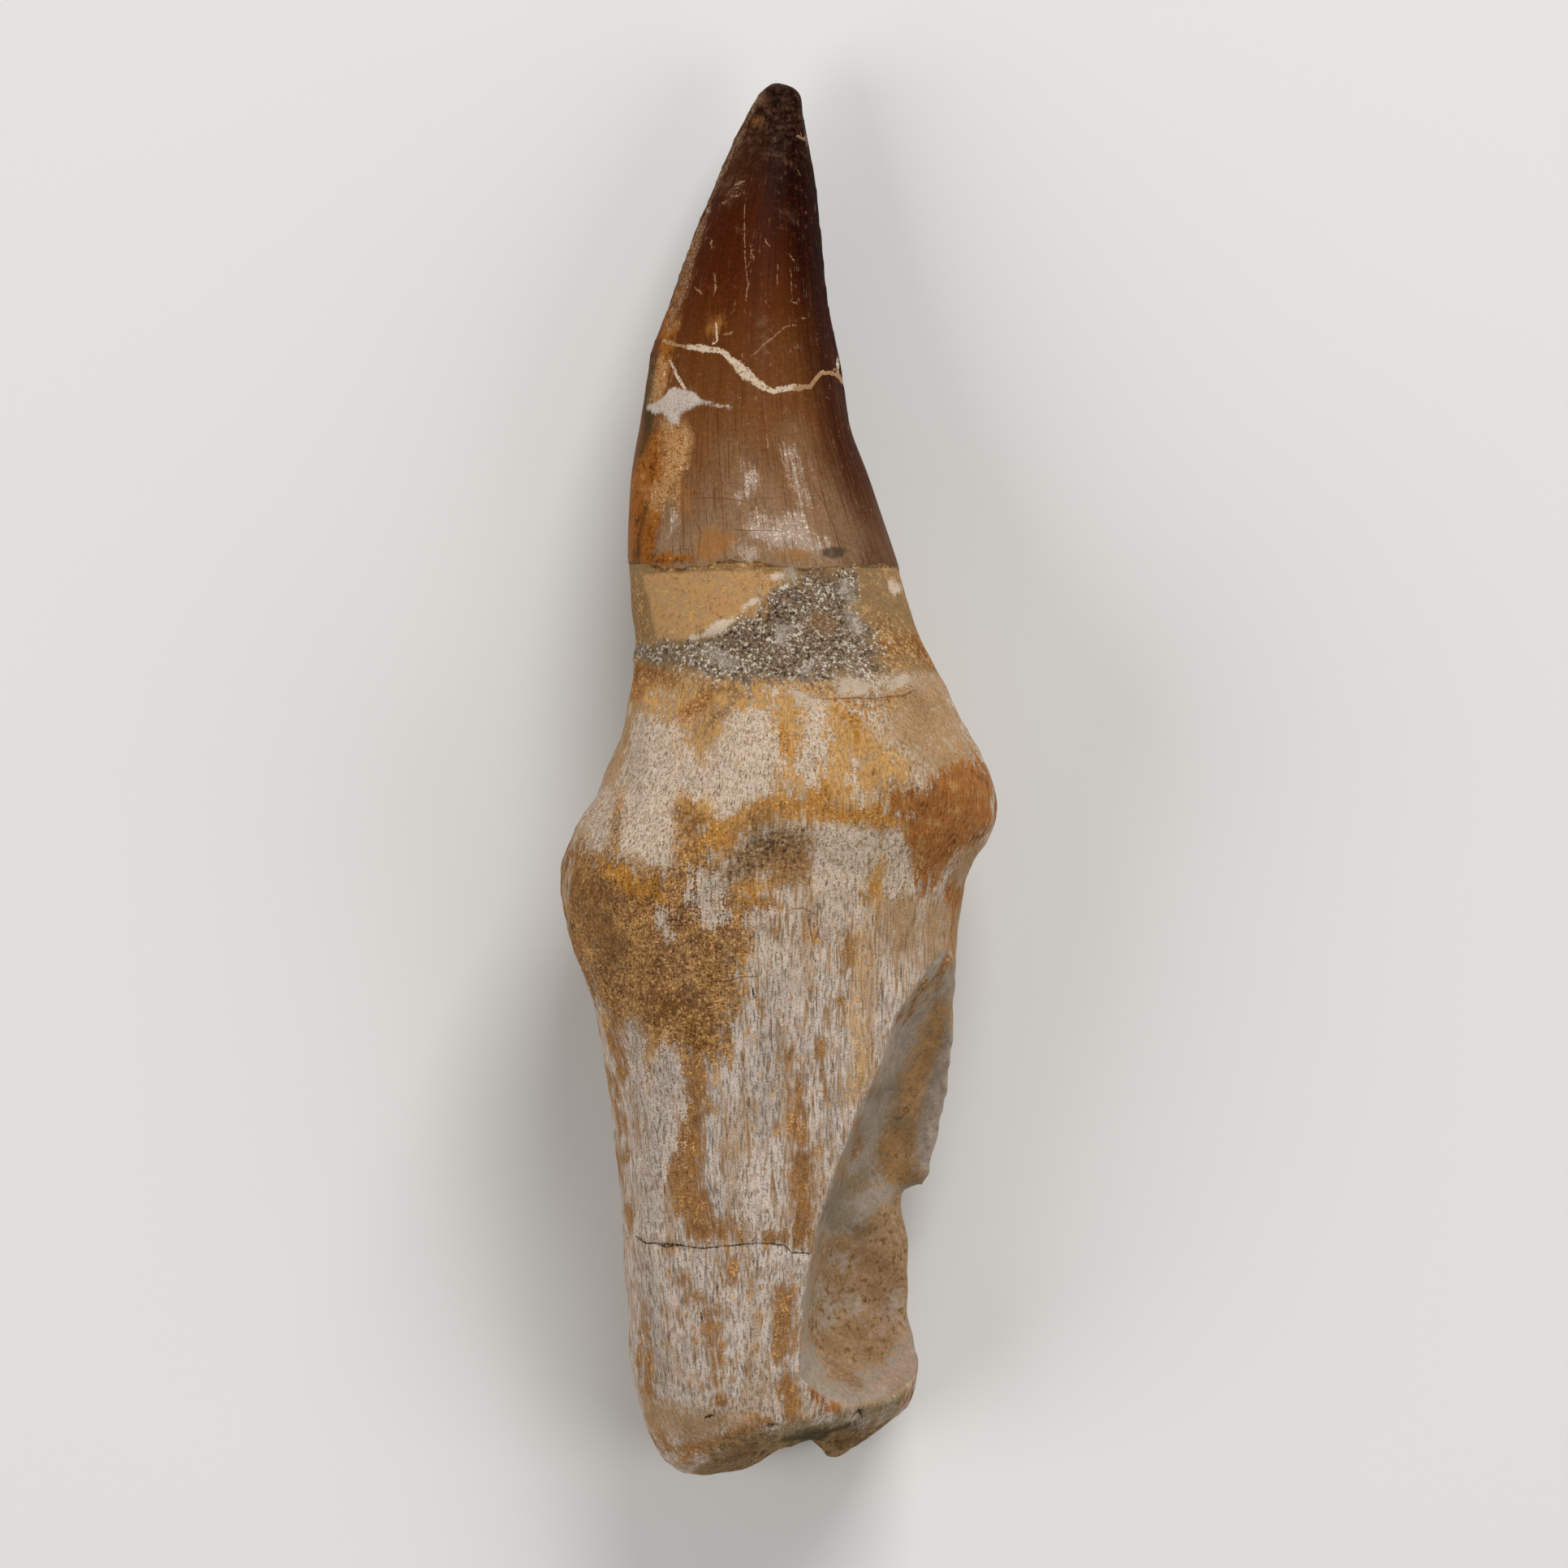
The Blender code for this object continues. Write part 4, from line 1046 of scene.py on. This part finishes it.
def ochre_stains(g, surface):
    """Ochre, mustard and orange stains of the root; returns where it is ochre."""
    bare = 1 - g.zone("beige", -0.5, 0.5, 0.6) * 0.8
    striped = g.stain("stripes", 1.2, -1.0, 0.12) * bare
    stripe = g.tones(["ochre dark", "ochre", "ochre", "bone tan", "ochre light"], 0.36, 0.66,
                     grain=0.4, chip=0.3, patchy=0.3)
    surface.cover(striped * 0.92, stripe, 0.8)
    stained = g.stain("ochre", 2.6, -0.6) * bare
    surface.cover(stained * 0.92, grainy_ochre(g, ["ochre dark", "ochre", "ochre light"]), 0.8)
    mustard = grainy_ochre(g, ["ochre", "mustard", "mustard", "bone cream"])
    surface.cover(g.stain("mustard", 1.6, -2.0) * 0.9, mustard, 0.7)
    orange = g.tones(["orange deep", "orange", "orange", "bone tan"], 0.4, 0.6,
                     patchy=0.35, mottle=0.35, thread=0.3)
    surface.cover(g.stain("orange", 1.4, -2.0) * 0.95, orange, 0.6)
    shade = g.zone("ochre_shade", -0.8, 1.2, 1.4)
    surface.cover(shade * g.blend(grain=0.6, cell=0.4).step(0.4, 0.65) * 0.55, "ochre dark")
    return g.calc("MAXIMUM", stained, striped)


def dip(g, surface):
    """The dark sandy dip under the mustard band."""
    rim = g.tones(["dash", "ochre", "bone tan", "bone tan", "grain yellow"], 0.36, 0.66,
                  chip=0.6, grain=0.2, patchy=0.2)
    surface.cover(g.stain("dip", 2.0, -1.6, 0.12) * 0.9, rim, 0.85)
    core = g.tones(["sand dark", "dip dark", "sand tan", "bone pale"], 0.38, 0.64,
                   chip=0.6, grain=0.2, patchy=0.2)
    surface.cover(g.stain("dip_core", 2.6, -1.6, 0.2) * 0.8, core, 0.85)


def pale_bone(g, surface, stained):
    """White tongues of bone between the stains, and the lilac shine of bare bone."""
    white = Surface(g, g.tones(["bone grey", "bone pale", "bone white", "bone white"], 0.34, 0.55,
                               thread=0.35, grain=0.4, patchy=0.25))
    white.cover(g.mottle.step(0.5, 0.64) * 0.25, "bone dull")
    white.cover(g.blend(patchy=0.7, chip=0.3).step(0.52, 0.62) * 0.55, "bone beige")
    white.cover(g.blend(thread=0.3, chip=0.3, grain=0.4).step(0.57, 0.63) * 0.7, "fleck")
    white.cover(g.dash.step(0.66, 0.71) * 0.7, "dash")
    surface.cover(g.stain("pale", 1.4, -1.2) * 0.92, white.colour, 0.74)
    surface.cover(g.zone("lilac", -1.0, 1.0) * (1 - stained) * 0.6, "bone lilac", kind="MULTIPLY")


def underside(g, surface):
    """Olive, green and brown places of the askew base, with painted shade on its underside and a painted
    shadow in its cavity.
    """
    # The underside is darkened olive as partly painted shade, and its cavity gets a painted shadow
    olive = g.tones(["under olive and painted shade", "neck olive", "bone tan"], 0.36, 0.7, patchy=0.6, grain=0.4)
    for name, layer, share in (("under", olive, 0.95), ("green", "base green", 0.6),
                               ("under_brown", "ochre dark", 0.5), ("under_painted_shadow", "under painted shadow", 0.85)):
        surface.cover(g.zone(name, -0.5, 0.5) * share, layer, 0.7)


def hollow(g, surface):
    """Smooth grey and mottled tan walls of the hollow, out of which small patches of each blend."""
    walls = Surface(g, g.tones(["hollow grey", "hollow grey", "hollow pink"], 0.4, 0.66,
                               mottle=0.5, patchy=0.5))
    tan = g.tones(["hollow brown", "hollow tan", "hollow tan", "hollow pink"], 0.4, 0.59,
                  patchy=0.55, chip=0.3, mottle=0.15)
    edge = g.sway(mottle=2, patchy=4)
    for name, layer, share in (("tan", tan, 0.9), ("gold", "hollow gold", 0.75),
                               ("green", "hollow green", 0.7), ("brown", "hollow brown", 0.5),
                               ("grey", "hollow grey", 0.7), ("pink", "hollow pink", 0.8),
                               ("light", "hollow light", 0.75), ("pale", "bone pale", 0.6)):
        walls.cover((g.painted("hollow_" + name) + edge).step(-0.7, 0.7) * share, layer)
    bevel = grainy_ochre(g, ["ochre dark", "ochre", "hollow tan"])
    walls.cover(g.zone("bevel", -0.3, 0.3, 0.4) * 0.85, bevel)
    walls.brighten(g.sway(patchy=0.7, chip=0.5) + 1)
    inside = (g.painted("hollow") + g.sway(mottle=0.3)).step(-0.15, 0.15)
    surface.cover(inside, walls.colour, 0.72)


def neck(g, surface):
    """The neck: sandy matrix, a smooth tan patch, flakes of the lip."""
    base = g.tones(["ochre", "neck olive", "neck olive", "neck tan", "bone beige"], 0.36, 0.66,
                   patchy=0.4, mottle=0.3, chip=0.3)
    surface.cover(1 - g.zone("root", -0.6, 0.6, 0.8), base, 0.6)
    orange = grainy_ochre(g, ["ochre dark", "neck orange", "neck tan"])
    surface.cover(g.zone("neck_orange", -0.4, 0.4, 0.9) * 0.85, orange, 0.7)
    tan = Surface(g, g.tones(["neck orange", "neck tan", "neck tan", "bone beige", "bone cream"],
                             0.36, 0.64, patchy=0.4, mottle=0.6))
    tan.cover(g.blend(chip=0.6, patchy=0.4).step(0.56, 0.64) * 0.7, "ochre")
    surface.cover(g.zone("tan", -0.3, 0.3, 0.7), tan.colour, 0.5)
    # Brown sandy streaks, partly a painted shadow below the matrix
    brown = g.tones(["dip dark", "ochre", "neck olive", "ochre light", "bone pale"], 0.36, 0.7, sandy=1)
    surface.cover(g.stain("brown_sand_and_painted_shadow", 1.6, -1.6, 0.14) * 0.85, brown, 0.8)
    sand = Surface(g, g.tones(["sand dark", "sand middle", "sand tan", "sand middle", "sand light",
                               "sand light"], 0.36, 0.66, sandy=1))
    sand.cover(g.cell_edge.step(0.4, 0.6) * 0.4, "sand dark")
    surface.cover(g.stain("sand", 1.2, -3.0, 0.1), sand.colour, 0.8)
    surface.cover(g.zone("spot", -0.6, 0.6) * 0.7, "neck grey")
    surface.cover(g.zone("disc", -0.4, 0.4, 0.6) * 0.7, "disc brown")
    pale = g.painted("tan_edge", "neck_pale") + g.wobble * 0.6
    surface.cover(pale.step(-0.2, 0.2) * 0.85, "neck pink")
    flake = g.tones(["neck tan", "flake", "flake", "bone pale"], 0.36, 0.64, patchy=0.6, grain=0.4)
    surface.cover(g.zone("flake", -0.08, 0.08, 0.3), flake, 0.6)


def enamel(g, surface):
    """The crown's enamel: brown and striated, with pale worn patches, painted highlights and glints, and
    its left face over it.
    """
    from_rim = g.painted("enamel")
    stops = [(height / TONES_HEIGHT, name) for height, name in ENAMEL_TONES]
    height = from_rim + g.sway(bands=9, mottle=5)
    crown = Surface(g, g.ramp(height * (1 / TONES_HEIGHT), stops), g.mottle * 0.1 + 0.4)
    # Painted shade: the crown's right side is multiplied darker, a little less near the rim
    side = g.painted("column") + from_rim * 0.21 + g.sway(bands=3)
    painted_side_shade = side.step(4.0, 9.0) * (from_rim.step(2.0, 12.0) * 0.25 + 0.75)
    crown.cover(painted_side_shade, "enamel painted shade", kind="MULTIPLY")
    # Painted sheen: the rim's pale colour laid softly over the low crown where the light glows
    crown.cover(g.zone("painted_sheen", -1.5, 2.0, 1.5) * 0.35, "enamel rim and painted sheen")

    fade = 1 - from_rim.step(8.0, 30.0)
    fine = g.blend(lines=0.7, grain=0.3)
    crown.cover(fine.step(0.48, 0.64) * (fade * 0.25 + 0.45), "enamel line dark")
    crown.cover((1 - g.lines.step(0.3, 0.46)) * fade * 0.25, "enamel line light")
    crown.cover(g.blend(rings=0.7, patchy=0.3).step(0.58, 0.64) * 0.25, "enamel red line")
    crown.brighten(g.sway(lines=1.4, chip=0.7) + 1)

    # Pale worn streaks of the low crown, with a painted highlight laid into them
    strokes = g.painted("wear_and_painted_highlight") + g.wobble * 1.4 + g.sway(lines=2.24)
    wear_and_painted_highlight = strokes.step(-0.4, 0.7)
    crown.cover(wear_and_painted_highlight * 0.65, "wear_and_painted_highlight")
    # Painted glints: pale sparkles inside the worn, highlighted streaks
    crown.cover(wear_and_painted_highlight * g.blend(chip=0.6, grain=0.4).step(0.54, 0.6) * 0.7, "sand light")
    crown.cover(g.zone("ochre_crown", -0.5, 0.7, 1.2) * 0.7, "enamel ochre")
    crown.cover(g.zone("worn", -0.8, 1.2, 1.6) * g.patchy.step(0.36, 0.66) * 0.45, "worn grey")
    tip = from_rim.step(35.0, 42.0) * g.blend(chip=0.5, patchy=0.5).step(0.42, 0.64)
    crown.cover(tip * 0.25, "worn grey")
    # Small pale flecks and painted glints over the crown, most near its rim
    flecks_and_painted_glints = g.blend(grain=0.6, patchy=0.4).step(0.64, 0.69)
    crown.cover(flecks_and_painted_glints * (fade * 0.3 + 0.08), "wear_and_painted_highlight")
    crown.cover(g.blend(dash=0.5, patchy=0.5).step(0.61, 0.7) * 0.22, "scratch")

    left_face(g, crown)
    share = (from_rim + g.sway(patchy=0.6)).step(-0.08, 0.08)
    surface.cover(share, crown.colour, crown.roughness)


def left_face(g, crown):
    """The crown's left face, orange and grainy, with its keel, the plaster spot and a strip of painted
    shade.
    """
    face = g.tones(["face olive and painted shade", "face orange deep", "face orange", "face orange", "neck tan"], 0.34, 0.66,
                   mottle=0.35, patchy=0.3, chip=0.35)
    crown.cover(g.zone("face", -0.4, 0.4, 0.8), face, 0.5)
    # Painted shade along the left face's turned-away edge
    crown.cover(g.zone("olive", -0.3, 0.3, 0.5) * 0.85, "face olive and painted shade", 0.5)
    grains = g.tones(["face orange", "orange", "neck tan", "neck tan", "sand light"], 0.34, 0.66,
                     grain=0.5, chip=0.2, patchy=0.3)
    crown.cover(g.zone("face_grain", -0.9, 0.6, 1.4) * 0.9, grains, 0.7)
    keel = g.tones(["face orange deep", "disc brown", "neck grey"], 0.38, 0.66,
                   grain=0.5, chip=0.2, patchy=0.3)
    crown.cover(g.zone("keel", -0.3, 0.4, 0.9) * 0.75, keel, 0.7)
    plaster = Surface(g, g.tones(["plaster shade", "plaster", "plaster"], 0.36, 0.56,
                                 grain=0.5, patchy=0.5))
    plaster.cover(g.blend(chip=0.6, grain=0.4).step(0.55, 0.64) * 0.6, "filler shade")
    crown.cover(g.zone("plaster", -0.15, 0.2, 0.4) * 0.95, plaster.colour, 0.8)
    crown.cover(g.zone("dark_chip", -0.2, 0.2, 0.4) * 0.8, "sand dark")


def cracks(g, surface):
    """Cream filler, pale scratches and chips, dark hairlines and pits."""
    wobble = g.sway(patchy=1.8, grain=1.6)
    filler = Surface(g, g.tones(["filler shade", "filler", "filler"], 0.38, 0.56, grain=0.4, chip=0.6))
    filler.cover(g.zone("filler_tan", -0.3, 0.3, 0.5) * 0.8, "filler tan")
    surface.cover(g.line("filler", wobble), filler.colour, 0.8)
    gaps = g.blend(chip=0.6, grain=0.4).step(0.42, 0.52)
    surface.cover(g.line("scratch", wobble * 1.4, 0.9) * gaps * 0.5, "scratch", 0.6)
    surface.cover(g.line("hairline", wobble * 0.6) * 0.6, "dash", 0.9)
    surface.cover(g.line("crack", wobble * 1.5, 0.9) * (gaps * 0.4 + 0.5), "hole", 0.9)


def plain_material(name, colour, roughness):
    """An even surface, for the floor."""
    made = bpy.data.materials.new(name)
    made.use_nodes = True
    shader = made.node_tree.nodes["Principled BSDF"]
    shader.inputs["Base Color"].default_value = colour
    shader.inputs["Roughness"].default_value = roughness
    return made


def floor():
    """A large plain pale floor under the tooth."""
    bpy.ops.mesh.primitive_plane_add(size=FLOOR_SIZE)
    made = bpy.context.object
    made.name = "floor"
    made.data.materials.append(plain_material("floor", FLOOR_COLOUR, 0.8))


def lights():
    """Large soft lights, the main one from beyond the tip, and a pale world."""
    for name, (place, size, power) in LIGHTS.items():
        light = bpy.data.lights.new(name, "AREA")
        light.shape = "SQUARE"
        light.size = size
        light.energy = power
        made = bpy.data.objects.new(name, light)
        bpy.context.scene.collection.objects.link(made)
        made.location = place
        aim = Vector(LIGHT_AIM) - Vector(place)
        made.rotation_euler = aim.to_track_quat("-Z", "Y").to_euler()
        made.visible_camera = False
    world = bpy.data.worlds.new("studio")
    world.use_nodes = True
    background = world.node_tree.nodes["Background"]
    background.inputs["Color"].default_value = WORLD_COLOUR
    background.inputs["Strength"].default_value = WORLD_STRENGTH
    bpy.context.scene.world = world


def camera():
    """A long lens straight above, with the photograph's frame."""
    width = PHOTO_SIZE * PIXEL * MM
    made = bpy.data.objects.new("camera", bpy.data.cameras.new("camera"))
    bpy.context.scene.collection.objects.link(made)
    made.data.lens = LENS
    made.data.sensor_width = SENSOR
    middle_x = (PHOTO_SIZE / 2 - ORIGIN_COLUMN) * PIXEL * MM
    middle_y = (ORIGIN_ROW - PHOTO_SIZE / 2) * PIXEL * MM
    made.location = (middle_x, middle_y, SILHOUETTE_Z * MM + width * LENS / SENSOR)
    made.data.clip_start = 0.01
    made.data.clip_end = 20.0
    bpy.context.scene.camera = made


def main():
    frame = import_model()
    camera()
    lights()
    floor()
    bpy.context.scene.view_settings.view_transform = "Standard"

    tooth = dress(frame["nodes"]["tooth"])
    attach(tooth, "root")
    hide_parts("tooth")


main()
